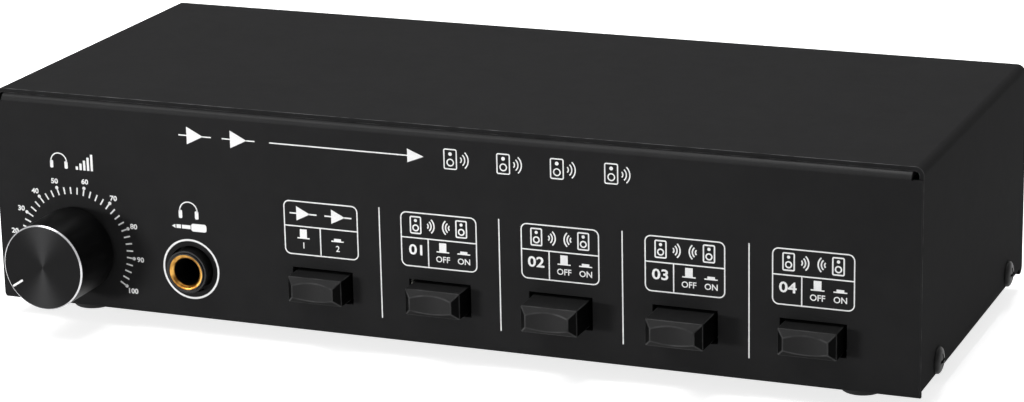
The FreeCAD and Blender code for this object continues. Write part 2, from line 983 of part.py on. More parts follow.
def make_resistors():
    body = place_in_case("headphone_resistors", jack_x, (board_front + board_back) / 2, board_top)
    body.AllowCompound = True
    half = d.resistor_length / 2
    lead = d.resistor_lead_width
    lead_level = (d.resistor_width + lead) / 2
    lead_end = half + d.resistor_lead_length

    def blocks(sketch):
        for back in spread(d.resistor_pitch, 2):
            centred_rectangle(sketch, ZERO, back, d.resistor_length, d.resistor_width)

    pad(body, "blocks", "XY_Plane", ZERO, d.resistor_width, blocks)

    def leads(sketch):
        for side in (-1, 1):
            corners = [
                (half, lead_level - lead),
                (lead_end - lead, lead_level - lead),
                (lead_end - lead, ZERO),
                (lead_end, ZERO),
                (lead_end, lead_level),
                (half, lead_level),
            ]
            outline(sketch, [(out * side, up) for out, up in corners])

    for back in spread(d.resistor_pitch, 2):
        pad(body, "leads", "XZ_Plane", back - lead / 2, back + lead / 2, leads)


# The rear terminals --------------------------------------------------------------------------------


def make_terminal_block(letter, across):
    body = place_in_case(f"terminal_block_{letter}", across, d.case_depth, terminal_z)
    face = d.terminal_flange_thickness
    half_height = terminal_body_height / 2

    def housing(sketch):
        centred_rectangle(sketch, ZERO, ZERO, terminal_body_width, terminal_body_height)

    pad(body, "housing", "XZ_Plane", -d.terminal_body_depth, ZERO, housing)

    def flange(sketch):
        height = terminal_body_height + d.terminal_rim * 2
        centred_rectangle(sketch, ZERO, ZERO, terminal_flange_width, height)

    plate = pad(body, "flange", "XZ_Plane", ZERO, face, flange)
    chamfer(
        body,
        "flange_edge",
        plate,
        d.terminal_flange_bevel,
        lambda edge, middle: near(middle.y, face),
    )

    def bays(sketch):
        half = bay_width / 2
        for up in row_places:
            for along in bay_places:
                rectangle(
                    sketch, along - half, up - d.bay_floor, along + half, up + bay_ceiling
                )

    pocket(body, "bays", "XZ_Plane", face, face - d.bay_depth, bays)
    hook_face = -(d.panel_sheet + d.hook_gap)

    def hooks(sketch):
        for side in (1, -1):
            corners = [
                (hook_face, half_height),
                (hook_face, half_height + d.hook_height),
                (hook_face - d.hook_length, half_height),
            ]
            outline(sketch, [(back, up * side) for back, up in corners])

    pad(body, "hooks", "YZ_Plane", d.hook_width / -2, d.hook_width / 2, hooks)


def make_lever(label, across, up):
    """A push lever: round hub against the bay's ceiling, limb below, and a lipped arm."""
    pivot_y = d.case_depth - d.pivot_inset
    pivot_z = terminal_z + up + d.pivot_height
    body = place_in_case(label, across, pivot_y, pivot_z)
    half = bay_width / 2 - d.lever_side_gap
    hub = d.lever_hub_radius
    tip = d.pivot_inset + d.lever_reach
    lip = d.lever_thickness / 2
    limb_front = d.lever_limb_thickness - hub

    def profile(sketch):
        corners = [
            (-hub, -d.lever_limb_length),
            (limb_front, -d.lever_limb_length),
            (limb_front, -hub),
            (limb_front + d.lever_corner, hub - d.lever_thickness - d.lever_corner),
            (tip - lip, hub - d.lever_thickness),
            (tip, hub - lip),
            (tip, hub + lip),
            (tip - lip, hub + lip),
            (tip - lip * 2, hub),
            (-hub, hub, hub),
        ]
        outline(sketch, corners)

    pad(body, "lever", "YZ_Plane", -half, half, profile)


def make_terminals():
    for letter, across in zip("abc", terminal_places):
        make_terminal_block(letter, across)
        number = 0
        for up in row_places:
            for along in bay_places:
                number += 1
                make_lever(f"lever_{letter}{number}", across + along, up)


def make_contacts():
    """A bent strip on the floor and back wall of each bay, under the wire."""
    body = place_in_case("terminal_contacts", ZERO, d.case_depth, terminal_z)
    body.AllowCompound = True
    back = d.terminal_flange_thickness - d.bay_depth
    strip = d.contact_thickness

    def strips(sketch):
        for up in row_places:
            floor = up - d.bay_floor
            corners = [
                (back, floor),
                (back + d.contact_length, floor),
                (back + d.contact_length, floor + strip),
                (back + strip, floor + strip),
                (back + strip, floor + d.contact_height),
                (back, floor + d.contact_height),
            ]
            outline(sketch, corners)

    half = d.contact_width / 2
    for across in terminal_places:
        for along in bay_places:
            centre = across + along
            pad(body, "strips", "YZ_Plane", centre - half, centre + half, strips)


# The whole switch ----------------------------------------------------------------------------------


def make_all():
    make_chassis()
    make_cover()
    make_cover_screws()
    make_feet()
    make_knob()
    make_grub_screw()
    make_shaft()
    make_volume_body()
    make_volume_nut()
    make_jack()
    make_jack_sleeve()
    for number, across in enumerate(button_places, start=1):
        make_button(number, across)
        make_plunger(number, across)
    make_switches()
    make_boards()
    make_standoffs()
    make_resistors()
    make_terminals()
    make_contacts()
    doc.recompute()


def check_document():
    """Stops on any failed object, empty cut or bad solid, before a file is written."""
    for item in doc.Objects:
        bad = [state for state in item.State if state in ("Invalid", "Error")]
        if bad:
            raise RuntimeError(f"{item.Name} of {item.Label} failed: {item.getStatusString()}")
        if item.TypeId in ("PartDesign::Pocket", "PartDesign::Groove"):
            if item.Shape.Volume >= item.BaseFeature.Shape.Volume - 1e-6:
                raise RuntimeError(f"{item.Name} cuts nothing")
    for part in parts:
        if part.Shape.isNull() or not part.Shape.isValid():
            raise RuntimeError(f"{part.Label} has no valid shape")


def write_parts():
    os.makedirs("parts", exist_ok=True)
    for part in parts:
        part.Shape.exportStep(os.path.join("parts", f"{part.Label}.step"))


make_all()
check_document()
write_parts()
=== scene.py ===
import json
import math

import bmesh
import bpy
import numpy as np
from bpy.props import FloatProperty, FloatVectorProperty, PointerProperty
from mathutils import Matrix, Vector


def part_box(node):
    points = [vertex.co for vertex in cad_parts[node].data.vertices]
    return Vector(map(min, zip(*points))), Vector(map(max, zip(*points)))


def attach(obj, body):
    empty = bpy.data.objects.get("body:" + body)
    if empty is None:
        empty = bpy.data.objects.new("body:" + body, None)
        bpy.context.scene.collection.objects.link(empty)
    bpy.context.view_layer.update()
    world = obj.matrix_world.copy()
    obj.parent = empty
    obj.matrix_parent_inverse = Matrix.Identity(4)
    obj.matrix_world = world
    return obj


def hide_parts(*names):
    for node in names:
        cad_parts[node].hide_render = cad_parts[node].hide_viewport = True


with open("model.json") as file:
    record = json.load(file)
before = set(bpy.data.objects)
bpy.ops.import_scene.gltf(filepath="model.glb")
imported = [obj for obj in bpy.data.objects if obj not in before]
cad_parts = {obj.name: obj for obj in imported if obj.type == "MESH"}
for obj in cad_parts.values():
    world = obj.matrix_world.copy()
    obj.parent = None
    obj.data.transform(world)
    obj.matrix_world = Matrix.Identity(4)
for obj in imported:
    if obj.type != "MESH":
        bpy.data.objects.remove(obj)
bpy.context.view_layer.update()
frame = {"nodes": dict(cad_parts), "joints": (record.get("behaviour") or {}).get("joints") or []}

bl_info = {
    "name": "Speaker selector switch",
    "version": (1, 0, 0),
    "blender": (4, 5, 0),
    "location": "View3D > Sidebar > Selector",
    "description": "Finishes, panel print, turned and moulded pieces, and a plain studio",
    "category": "Object",
}

MM = 0.001

# Names, places and sizes -------------------------------------------------------------------------

CASE_LOW, CASE_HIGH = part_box("chassis")
FRONT_Y = CASE_LOW.y
BUTTONS = [f"button_{number}" for number in range(1, 6)]
FEET = [f"foot_{number}" for number in range(1, 5)]
# The channels of each terminal block, row by row. The first block is for the amplifiers.
BLOCK_CHANNELS = {"a": (1, 2), "b": (1, 2), "c": (3, 4)}
AMPLIFIER_BLOCK = "a"
LEVERS_PER_ROW = 4
KNOB_MOUNT = ("volume_shaft", "volume_body", "volume_nut_and_washer", "knob_grub_screw")
INNER_FINISHES = {
    "main_board": "solder_mask",
    "terminal_board": "solder_mask",
    "standoffs": "nylon",
    "headphone_resistors": "ceramic",
    "terminal_contacts": "nickel",
}

# Distances, in metres, below which points count as touching or as one.
TOUCHING = 1e-6
SAME_POINT = 1e-7

# CAD nodes: what counts as flat, what is rounded, and how far a face has turned, as a part of its
# normal, when it takes another finish: a smoother coat over a bend, and on a button cap's sides
# and underside a darker copy of the cap plastic, which is painted shade.
FLAT_ANGLE = math.radians(1.0)
SHARP_ANGLE = math.radians(25.0)
EDGE_SEGMENTS = 2
BEND_TILT = 0.2
SIDE_TURN = 0.5

# Turned pieces: gaps in metres, shares of a piece's own size, and counts of facets. The pointer
# ends so many chamfer widths inside the knob's rim.
POINTER_INK = 0.03 * MM
POINTER_INSET = 1.6
KNOB_RUNNING_GAP = 0.05 * MM
KNOB_NUT_GAP = 0.5 * MM
KNOB_HOLLOW = 0.68
KNOB_FACETS = 160
LIP_STEPS = 8
SHANK_SHARE = 0.48
HEAD_WALL = 0.25
DOME_STEPS = 7
SCREW_FACETS = 48
FOOT_HOLLOW = 0.62
FOOT_SOLE = 0.94
FOOT_FACETS = 64

# Dial print, in millimetres out from the knob's axis.
DIAL_DIVISIONS = 35
DIAL_TENS = (0, 3, 6, 9, 12, 15, 19, 23, 27, 31, 35)
DIAL_TICK = (13.3, 15.0)
DIAL_DOT = 0.42
DIAL_NUMBER_OUT = 16.9
DIAL_DIGIT_OUT = 0.35

# Button labels, in millimetres aside from and up from the middle of a cap.
FRAME_UP = 13.4
RULE_UP = 13.8
UPRIGHT_FIRST = -0.2
UPRIGHT_OTHERS = -2.6
AMPLIFIER_ASIDE = 4.4
AMPLIFIER_HEIGHT = 3.4
SPEAKER_ASIDE = 5.6
SPEAKER_HEIGHT = 4.2
SOUND_ASIDE = 3.2
CHANNEL_ASIDE = -5.75
CHANNEL_UP = 11.0
CHANNEL_HEIGHT = 2.5
MARK_UP = 10.85
MARK_BASE = 3.1
MARK_WIDTH = 1.75
OUT_MARK = 2.0
IN_MARK = 0.5
INPUT_MARKS = ((-4.5, OUT_MARK, "1"), (4.1, IN_MARK, "2"))
OUTPUT_MARKS = ((0.96, OUT_MARK, "OFF"), (6.08, IN_MARK, "ON"))
WORD_UP = 9.25
WORD_HEIGHT = 1.45
DIVIDER_ASIDE = 0.1
DIVIDER_SPAN = (-6.25, 20.2)

# Row of symbols at the top of the panel, in millimetres across from the middle of the case and up
# from the floor.
TITLE_UP = 48.85
TITLE_HEIGHT = 4.2
TITLE_AMPLIFIERS = (-59.6, -48.4)
ARROW_START = -40.5
ARROW_ROOT = -6.0
ARROW_TIP = -2.0
ARROW_HALF = 1.6
TITLE_SPEAKERS = (4.5, 17.3, 30.1, 42.9)
TITLE_SPEAKER_HEIGHT = TITLE_HEIGHT * 1.15
TITLE_SOUND_ASIDE = 1.9

# Captions over the knob and the socket, in millimetres up from the floor and aside from each.
KNOB_CAPTION_UP = 39.6
KNOB_HEADPHONES_ASIDE = -3.6
KNOB_HEADPHONES_WIDTH = 4.2
BARS_ASIDE = 3.4
BARS_DOWN = 1.6
BARS_WIDTH = 5.0
SOCKET_CAPTION_UP = 29.2
SOCKET_HEADPHONES_LIFT = 1.2
SOCKET_HEADPHONES_WIDTH = 4.6
PLUG_DOWN = 2.6
PLUG_LENGTH = 9.0

# Back print, in millimetres. A sign stands over its lever, and a channel's symbol and number stand
# each side of the middle of its row.
SIGN_UP = 1.6
SIGN_HALF = 0.8
BACK_SYMBOL_ASIDE = 1.6
BACK_SYMBOL_HEIGHT = 2.4
BACK_NUMBER_ASIDE = -2.2
BACK_NUMBER_HEIGHT = 2.2

# The stage: places and sides of the soft boxes in metres, turns of the camera in degrees, its
# sensor in millimetres, and the even light's strength from the left and the right.
CAMERA_PLACE = (0.2806, -0.6863, 0.2463)
CAMERA_YAW = 22.15
CAMERA_PITCH = 16.54
CAMERA_ROLL = 1.21
SENSOR_WIDTH = 36.0
NEAREST = 0.01
FARTHEST = 20.0
OVERHEAD_PLACE = (0.0, 0.08, 0.75)
OVERHEAD_SIDES = (0.3, 0.7)
FRONT_PLACE = (-0.3, -0.25, 0.65)
FRONT_SIDES = (0.5, 0.2)
LEFT_PLACE = (-0.387, -0.598, 0.05)
LEFT_SIDES = (0.14, 0.07)
FLOOR_RADIUS = 1.6
FILL_FROM_LEFT = 1.4
FILL_FROM_RIGHT = 0.4


def middle(node):
    """Centre of a node's box at rest."""
    low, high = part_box(node)
    return (low + high) / 2


def seen_from_front(node):
    """Centre of a node across and up, in millimetres, for the panel print."""
    centre = middle(node)
    return centre.x / MM, centre.z / MM


# Settings ----------------------------------------------------------------------------------------


def length(name, description, millimetres):
    """A length that a user can change."""
    return FloatProperty(
        name=name, description=description, default=millimetres * MM, unit="LENGTH", precision=5
    )


def share(name, description, default):
    """A value between 0 and 1 that a user can change."""
    return FloatProperty(
        name=name, description=description, default=default, min=0, max=1, subtype="FACTOR"
    )


def colour(name, description, default):
    """A colour that a user can change."""
    return FloatVectorProperty(
        name=name, description=description, default=default, min=0, max=1, size=3, subtype="COLOR"
    )


class SELECTOR_PG_finish(bpy.types.PropertyGroup):
    """Colours and surface of the finishes."""

    paint: colour("Paint", "Black powder coat of the case", (0.0136, 0.0136, 0.0139))
    paint_roughness: share("Paint roughness", "Roughness of the powder coat", 0.85)
    bend_roughness: share("Bend roughness", "Roughness where the sheet was bent", 0.34)
    paint_grain: length("Paint grain", "Size of the powder coat's pebbles", 0.32)
    anodised: colour("Knob", "Black anodised side of the knob", (0.0018, 0.0018, 0.0019))
    spun: colour("Spun face", "Turned face of the knob", (0.0094, 0.0094, 0.0096))
    bare_edge: colour("Cut edge", "Bright aluminium of the diamond-cut edge", (0.5, 0.5, 0.51))
    gold: colour("Gold", "Plating of the socket's sleeve", (0.5, 0.27, 0.065))
    cap: colour("Buttons", "Satin black button caps", (0.0118, 0.0118, 0.012))
    ink: colour("Ink", "Screen print of the front and back", (0.74, 0.74, 0.74))
    red: colour("Red", "Positive terminal levers", (0.42, 0.012, 0.01))
    rubber: colour("Rubber", "Feet", (0.008, 0.008, 0.008))


class SELECTOR_PG_pieces(bpy.types.PropertyGroup):
    """Sizes of the rounded edges and the turned pieces."""

    sheet_edge: length("Sheet edge", "Rounding of the painted sheet's edges", 0.12)
    cover_edge: length("Cover edge", "Rounding of the top cover's edges", 0.34)
    moulded_edge: length("Moulded edge", "Rounding of the plastic pieces' edges", 0.2)
    small_edge: length("Small edge", "Rounding of small metal pieces' edges", 0.08)
    knob_chamfer: length("Knob chamfer", "Width of the knob's bright cut edge", 0.32)
    knob_rim: length("Knob rim", "Rounding at the knob's back edge", 0.4)
    pointer_width: length("Pointer width", "White line on the knob's face", 0.5)
    pointer_length: length("Pointer length", "White line on the knob's face", 3.2)
    sleeve_wall: length("Sleeve wall", "Thickness of the socket's gold sleeve", 1.35)
    gold_depth: length("Gold depth", "How far the gold reaches into the socket", 0.9)
    socket_rim: length("Socket rim", "Width of the black rim round the gold", 0.36)
    rim_step: length("Rim step", "How far the gold lies behind the rim", 0.15)
    lip: length("Lip", "Rounding of the socket's barrel and sleeve", 0.12)
    foot_rounding: length("Foot rounding", "Lower edge of a rubber foot", 0.9)
    foot_recess: length("Foot recess", "Hollow under a rubber foot", 0.35)
    recess_width: length("Recess width", "Width of a screw's cross recess", 0.75)
    recess_span: length("Recess span", "Length of a screw's cross recess", 3.2)
    recess_depth: length("Recess depth", "Depth of a screw's cross recess", 0.9)
    shank_length: length("Shank length", "Length of a cover screw under its head", 6.0)


class SELECTOR_PG_print(bpy.types.PropertyGroup):
    """Sizes of the screen print."""

    ink_thickness: length("Ink thickness", "How far the ink stands on the panel", 0.03)
    line: length("Line", "Width of frames and dividers", 0.28)
    fine_line: length("Fine line", "Width of the lines in the symbols", 0.32)
    tick_line: length("Tick line", "Width of the dial's ticks", 0.36)
    ring_line: length("Ring line", "Width of the ring round the socket", 0.46)
    ring_radius: length("Ring radius", "Ring round the socket", 7.1)
    number_height: length("Number height", "Height of the dial's numbers", 1.3)
    frame_width: length("Frame width", "Width of a label frame", 18.7)
    frame_height: length("Frame height", "Height of a label frame", 13.0)
    frame_radius: length("Frame radius", "Corner radius of a label frame", 1.5)


class SELECTOR_PG_studio(bpy.types.PropertyGroup):
    """Lamps, floor and camera."""

    floor: colour("Floor", "Plain pale floor", (0.9, 0.9, 0.9))
    floor_lift: share("Floor lift", "How much whiter the backdrop makes the floor", 0.76)
    fill: share("Fill", "Strength of the even light from all round", 0.3)
    overhead_power: FloatProperty(
        name="Overhead", description="Large soft box over the case", default=5.0, unit="POWER"
    )
    front_power: FloatProperty(
        name="Front", description="Soft strip over the front edge", default=1.7, unit="POWER"
    )
    left_power: FloatProperty(
        name="Left", description="Low soft box on the left, for the knob", default=2.9, unit="POWER"
    )
    focal_length: FloatProperty(
        name="Focal length", description="Camera lens in millimetres", default=113.98
    )


# Shader tools ------------------------------------------------------------------------------------


class Graph:
    """Adds nodes to one tree and joins them."""

    def __init__(self, tree):
        self.tree = tree

    def feed(self, socket, value):
        """Joins a socket to another one, or sets its value."""
        if isinstance(value, bpy.types.NodeSocket):
            self.tree.links.new(value, socket)
        else:
            socket.default_value = value

    def add(self, kind, inputs=None, **settings):
        node = self.tree.nodes.new(kind)
        for name, value in settings.items():
            setattr(node, name, value)
        for name, value in (inputs or {}).items():
            self.feed(node.inputs[name], value)
        return node

    def math(self, operation, first, second=0.0, clamp=False):
        inputs = {0: first, 1: second}
        return self.add("ShaderNodeMath", inputs, operation=operation, use_clamp=clamp).outputs[0]

    def vector(self, operation, first, second=(0.0, 0.0, 0.0)):
        inputs = {0: first, 1: second}
        return self.add("ShaderNodeVectorMath", inputs, operation=operation).outputs

    def remap(self, value, low, high, new_low=0.0, new_high=1.0):
        ends = {"From Min": low, "From Max": high, "To Min": new_low, "To Max": new_high}
        return self.add("ShaderNodeMapRange", {"Value": value, **ends}).outputs["Result"]

    def mix(self, factor, first, second):
        inputs = {0: factor, 6: first, 7: second}
        return self.add("ShaderNodeMix", inputs, data_type="RGBA").outputs[2]

    def noise(self, place, scale, detail, roughness=0.5, distortion=0.0):
        """Soft noise round 0.5 at a place on the surface."""
        inputs = {
            "Vector": place,
            "Scale": scale,
            "Detail": detail,
            "Roughness": roughness,
            "Distortion": distortion,
        }
        return self.add("ShaderNodeTexNoise", inputs).outputs["Fac"]

    def upward(self):
        """How far the surface faces up: 1 on top, 0 at an upright side, less underneath."""
        normal = self.add("ShaderNodeNewGeometry").outputs["Normal"]
        return self.add("ShaderNodeSeparateXYZ", {0: normal}).outputs["Z"]


def rgba(settings_colour, gain=1.0):
    """A colour times a gain, with full alpha."""
    return (*[min(1.0, channel * gain) for channel in settings_colour], 1.0)


def empty_graph(owner):
    """The node tree of a material or a world, with nothing in it."""
    owner.use_nodes = True
    owner.node_tree.nodes.clear()
    return Graph(owner.node_tree)


def open_group(name, label, default):
    """A node group for a place on the surface and one more value: (graph, entry sockets)."""
    tree = bpy.data.node_groups.new(name, "ShaderNodeTree")
    kind = "NodeSocketFloat" if isinstance(default, float) else "NodeSocketVector"
    tree.interface.new_socket("Position", in_out="INPUT", socket_type="NodeSocketVector")
    socket = tree.interface.new_socket(label, in_out="INPUT", socket_type=kind)
    socket.default_value = default
    graph = Graph(tree)
    return graph, graph.add("NodeGroupInput").outputs


def close_group(graph, **values):
    """Leads the named values out of a group, and gives back its tree."""
    named = {label.capitalize(): value for label, value in values.items()}
    for label in named:
        graph.tree.interface.new_socket(label, in_out="OUTPUT", socket_type="NodeSocketFloat")
    graph.add("NodeGroupOutput", named)
    return graph.tree


# Shared effects: how fine their noises are, per metre or as a share of the grain's own fineness,
# and how much each adds.
GRIT_FINENESS = 2.3
GRIT_HEIGHT = 0.45
GRIT_SHADE = 0.85
PATCH_FINENESS = 0.018
PATCH_SHADE = 0.15
SPECK_SCALE = 900.0
DRIFT_SCALE = 22.0
WEAR_AND_HIGHLIGHT_SCALE = 260.0
SMEAR_SCALE = 160.0
SMEAR_TWIST = 1.6


def grain_group():
    """Pebbles of a powder coat or a spark-eroded mould, with a finer grit on them."""
    graph, entry = open_group("Grain", "Size", 0.3 * MM)
    place = entry["Position"]
    frequency = graph.math("DIVIDE", 1.0, entry["Size"])
    pebbles = graph.add(
        "ShaderNodeTexVoronoi",
        {"Vector": place, "Scale": frequency, "Smoothness": 1.0, "Randomness": 1.0},
        feature="SMOOTH_F1",
    )
    grit = graph.noise(place, graph.math("MULTIPLY", frequency, GRIT_FINENESS), 2.0, 0.55)
    patches = graph.noise(place, graph.math("MULTIPLY", frequency, PATCH_FINENESS), 3.0)
    domes = graph.math("SUBTRACT", 1.0, pebbles.outputs["Distance"])
    height = graph.math("ADD", domes, graph.math("MULTIPLY", grit, GRIT_HEIGHT))
    speckle = graph.math("MULTIPLY", grit, GRIT_SHADE)
    mottle = graph.math("ADD", speckle, graph.math("MULTIPLY", patches, PATCH_SHADE))
    return close_group(graph, height=height, mottle=mottle)


def dust_group():
    """A faint settling of dust on what faces up, and on nothing that faces down."""
    graph, entry = open_group("Dust", "Amount", 0.1)
    upward = graph.remap(graph.upward(), 0.2, 1.0)
    specks = graph.noise(entry["Position"], SPECK_SCALE, 4.0, 0.7)
    drifts = graph.noise(entry["Position"], DRIFT_SCALE, 3.0)
    spread = graph.math("MULTIPLY", graph.remap(specks, 0.5, 0.75), drifts)
    settled = graph.math("MULTIPLY", spread, upward)
    return close_group(graph, mask=graph.math("MULTIPLY", settled, entry["Amount"], clamp=True))


def edge_wear_group():
    """Noisy patches: scuffs and painted highlight on the rounded edges, faint scuffs on the faces.
    """
    graph, entry = open_group("Edge wear", "Amount", 0.5)
    patches = graph.noise(entry["Position"], WEAR_AND_HIGHLIGHT_SCALE, 4.0)
    broken = graph.remap(patches, 0.35, 0.65, 0.15, 1.0)
    return close_group(graph, mask=graph.math("MULTIPLY", broken, entry["Amount"], clamp=True))


def streaks_group():
    """Fine tool marks drawn out along one direction, for rolled and turned metal."""
    graph, entry = open_group("Streaks", "Stretch", (9000.0, 300.0, 9000.0))
    stretched = graph.vector("MULTIPLY", entry["Position"], entry["Stretch"])
    marks = graph.noise(stretched["Vector"], 1.0, 3.0, 0.6)
    return close_group(graph, height=marks, shade=graph.remap(marks, 0.3, 0.7))


def handling_group():
    """Soft smears that fingers leave on a smooth surface."""
    graph, entry = open_group("Handling", "Amount", 0.3)
    smear = graph.noise(entry["Position"], SMEAR_SCALE, 2.0, distortion=SMEAR_TWIST)
    patch = graph.remap(smear, 0.42, 0.7)
    return close_group(graph, mask=graph.math("MULTIPLY", patch, entry["Amount"], clamp=True))


GROUP_MAKERS = {
    "Grain": grain_group,
    "Dust": dust_group,
    "Edge wear": edge_wear_group,
    "Streaks": streaks_group,
    "Handling": handling_group,
}


def place_group(graph, name, **inputs):
    """One of the shared effects, built the first time it is asked for."""
    tree = bpy.data.node_groups.get(name) or GROUP_MAKERS[name]()
    node = graph.add("ShaderNodeGroup", node_tree=tree)
    named = {"Position": graph.add("ShaderNodeTexCoord").outputs["Object"]}
    named.update({label.capitalize(): value for label, value in inputs.items()})
    for label, value in named.items():
        graph.feed(node.inputs[label], value)
    return node.outputs


def new_material(name, **sockets):
    """A material with one principled shader, its even values set on the shader's own sockets."""
    material = bpy.data.materials.new(name)
    graph = empty_graph(material)
    labels = [label.replace("_", " ").title().replace("Ior", "IOR") for label in sockets]
    shader = graph.add("ShaderNodeBsdfPrincipled", dict(zip(labels, sockets.values())))
    graph.add("ShaderNodeOutputMaterial", {"Surface": shader.outputs["BSDF"]})
    return material, graph, shader


def join(graph, value, shader, socket):
    """Leads a changing value into one of the shader's sockets."""
    graph.tree.links.new(value, shader.inputs[socket])


def bump(graph, shader, height, strength, distance):
    """Tilts the shader's normal by a height, over a distance in metres."""
    node = graph.add(
        "ShaderNodeBump", {"Height": height, "Strength": strength, "Distance": distance}
    )
    join(graph, node.outputs["Normal"], shader, "Normal")


# Finishes ----------------------------------------------------------------------------------------

DUST_COLOUR = (0.16, 0.155, 0.15, 1.0)
# Share of the paler colour: faint scuffs on the faces; on the rounded edges, scuffs together with a
# painted highlight.
FACE_WEAR = 0.012
EDGE_WEAR_AND_HIGHLIGHT = 1.0

# Powder coat: gloss on the flat and over a bend, how far the sheet turns up between the two, and
# how much paler it is where scuffed, which on the rounded edges is also a painted highlight.
COAT_GLOSS = 0.026
BEND_GLOSS = 0.09
BEND_TURN = (0.15, 0.6)
COAT_DUST = 0.02
COAT_WORN_AND_LIT = 9.0
# The span of the grain's and the streaks' noise that is spread over a whole change of shade.
MOTTLE = (0.35, 0.65)
WIDE_MOTTLE = (0.3, 0.7)
# Turned metal: rings from the axis to the rim, the size of the darker patches, tarnished and also
# painted dark reflection, and the run of the tool marks.
QUARTER_TURN = 0.25
RINGS = 160.0
TARNISH_AND_REFLECTION_SCALE = 260.0
TURNED_MARKS = (2500.0, 60.0, 2500.0)
ROLLED_MARKS = (200.0, 9000.0, 9000.0)
INK_GRAIN = 0.35 * MM


def waver(graph, factor, tint, darker, lighter):
    """A colour between a darker and a lighter share of itself."""
    return graph.mix(factor, rgba(tint, darker), rgba(tint, lighter))


def powder_coat(finish, name, wear, bent=False):
    """Fine textured black powder coat, a little dust on top, painted highlight on scuffed edges.

    Over a bend it is drawn smoother the more the sheet turns up.
    """
    gloss = BEND_GLOSS if bent else COAT_GLOSS
    material, graph, shader = new_material(name, specular_ior_level=gloss)
    grain = place_group(graph, "Grain", size=finish.paint_grain)
    dust = place_group(graph, "Dust", amount=COAT_DUST)["Mask"]
    rubbed_and_lit = place_group(graph, "Edge wear", amount=wear)["Mask"]
    body = waver(graph, graph.remap(grain["Mottle"], *MOTTLE), finish.paint, 0.8, 1.25)
    # Paler colour along the rounded edges: scuffs and a painted highlight.
    worn_and_lit = graph.mix(rubbed_and_lit, body, rgba(finish.paint, COAT_WORN_AND_LIT))
    join(graph, graph.mix(dust, worn_and_lit, DUST_COLOUR), shader, "Base Color")
    flat = finish.paint_roughness
    if bent:
        rough = graph.remap(graph.upward(), *BEND_TURN, flat, finish.bend_roughness)
    else:
        uneven = graph.remap(grain["Mottle"], *WIDE_MOTTLE, -0.03, 0.03)
        rough = graph.math("ADD", flat, uneven)
    join(graph, rough, shader, "Roughness")
    bump(graph, shader, grain["Height"], 0.35, 0.04 * MM)
    return material


def moulded(
    name, tint, roughness, wear, grain=0.4 * MM, relief=0.12, dusty=0.05, gloss=0.5, worn_and_highlight_lift=0.003
):
    """Moulded plastic: fine mould grain, scuffed edges with painted highlight, finger smears and
    dust.
    """
    material, graph, shader = new_material(name, specular_ior_level=gloss)
    pebbles = place_group(graph, "Grain", size=grain)
    smear = place_group(graph, "Handling", amount=0.5)["Mask"]
    rubbed_and_lit = place_group(graph, "Edge wear", amount=wear)["Mask"]
    dust = place_group(graph, "Dust", amount=dusty)["Mask"]
    body = waver(graph, graph.remap(pebbles["Mottle"], *MOTTLE), tint, 0.88, 1.12)
    # Paler colour for the edges: scuffs and a painted highlight.
    lighter = rgba([channel * 1.5 + worn_and_highlight_lift for channel in tint])
    worn_and_lit = graph.mix(rubbed_and_lit, body, lighter)
    join(graph, graph.mix(dust, worn_and_lit, DUST_COLOUR), shader, "Base Color")
    smeared = graph.remap(smear, 0.0, 1.0, roughness, max(0.05, roughness - 0.14))
    join(graph, smeared, shader, "Roughness")
    bump(graph, shader, pebbles["Height"], relief, 0.03 * MM)
    return material


def metal(name, tint, roughness, stretch):
    """Bare or plated metal with tool marks and finger smears."""
    material, graph, shader = new_material(name, metallic=1.0)
    marks = place_group(graph, "Streaks", stretch=stretch)
    smear = place_group(graph, "Handling", amount=0.6)["Mask"]
    join(graph, waver(graph, marks["Shade"], tint, 0.9, 1.05), shader, "Base Color")
    streaky = graph.remap(marks["Shade"], 0.0, 1.0, roughness - 0.05, roughness + 0.05)
    smeared = graph.math("ADD", streaky, graph.math("MULTIPLY", smear, 0.08))
    join(graph, smeared, shader, "Roughness")
    bump(graph, shader, marks["Height"], 0.1, 0.02 * MM)
    return material


def turn_tangent(graph, shader):
    """Lays the shine of a turned piece round the lathe's axis, which is the frame's Y."""
    tangent = graph.add("ShaderNodeTangent", direction_type="RADIAL", axis="Y")
    join(graph, tangent.outputs["Tangent"], shader, "Tangent")


def anodised(finish, name, wear):
    """Satin black anodised aluminium with turning marks round the knob."""
    material, graph, shader = new_material(
        name, specular_ior_level=0.08, anisotropic=0.85, anisotropic_rotation=QUARTER_TURN
    )
    marks = place_group(graph, "Streaks", stretch=TURNED_MARKS)
    smear = place_group(graph, "Handling", amount=0.5)["Mask"]
    rubbed_and_lit = place_group(graph, "Edge wear", amount=wear)["Mask"]
    body = waver(graph, marks["Shade"], finish.anodised, 0.85, 1.15)
    join(graph, graph.mix(rubbed_and_lit, body, rgba(finish.anodised, 3.0)), shader, "Base Color")
    join(graph, graph.remap(smear, 0.0, 1.0, 0.34, 0.26), shader, "Roughness")
    turn_tangent(graph, shader)
    bump(graph, shader, marks["Height"], 0.05, 0.02 * MM)
    return material


def print_ink(name, tint):
    """Screen print: slightly uneven cover over the paint's pebbles."""
    material, graph, shader = new_material(name, specular_ior_level=0.3)
    grain = place_group(graph, "Grain", size=INK_GRAIN)
    cover = graph.remap(grain["Mottle"], 0.3, 0.62)
    join(graph, waver(graph, cover, tint, 0.8, 1.05), shader, "Base Color")
    join(graph, graph.remap(grain["Mottle"], *WIDE_MOTTLE, 0.5, 0.65), shader, "Roughness")
    bump(graph, shader, grain["Height"], 0.2, 0.03 * MM)
    return material


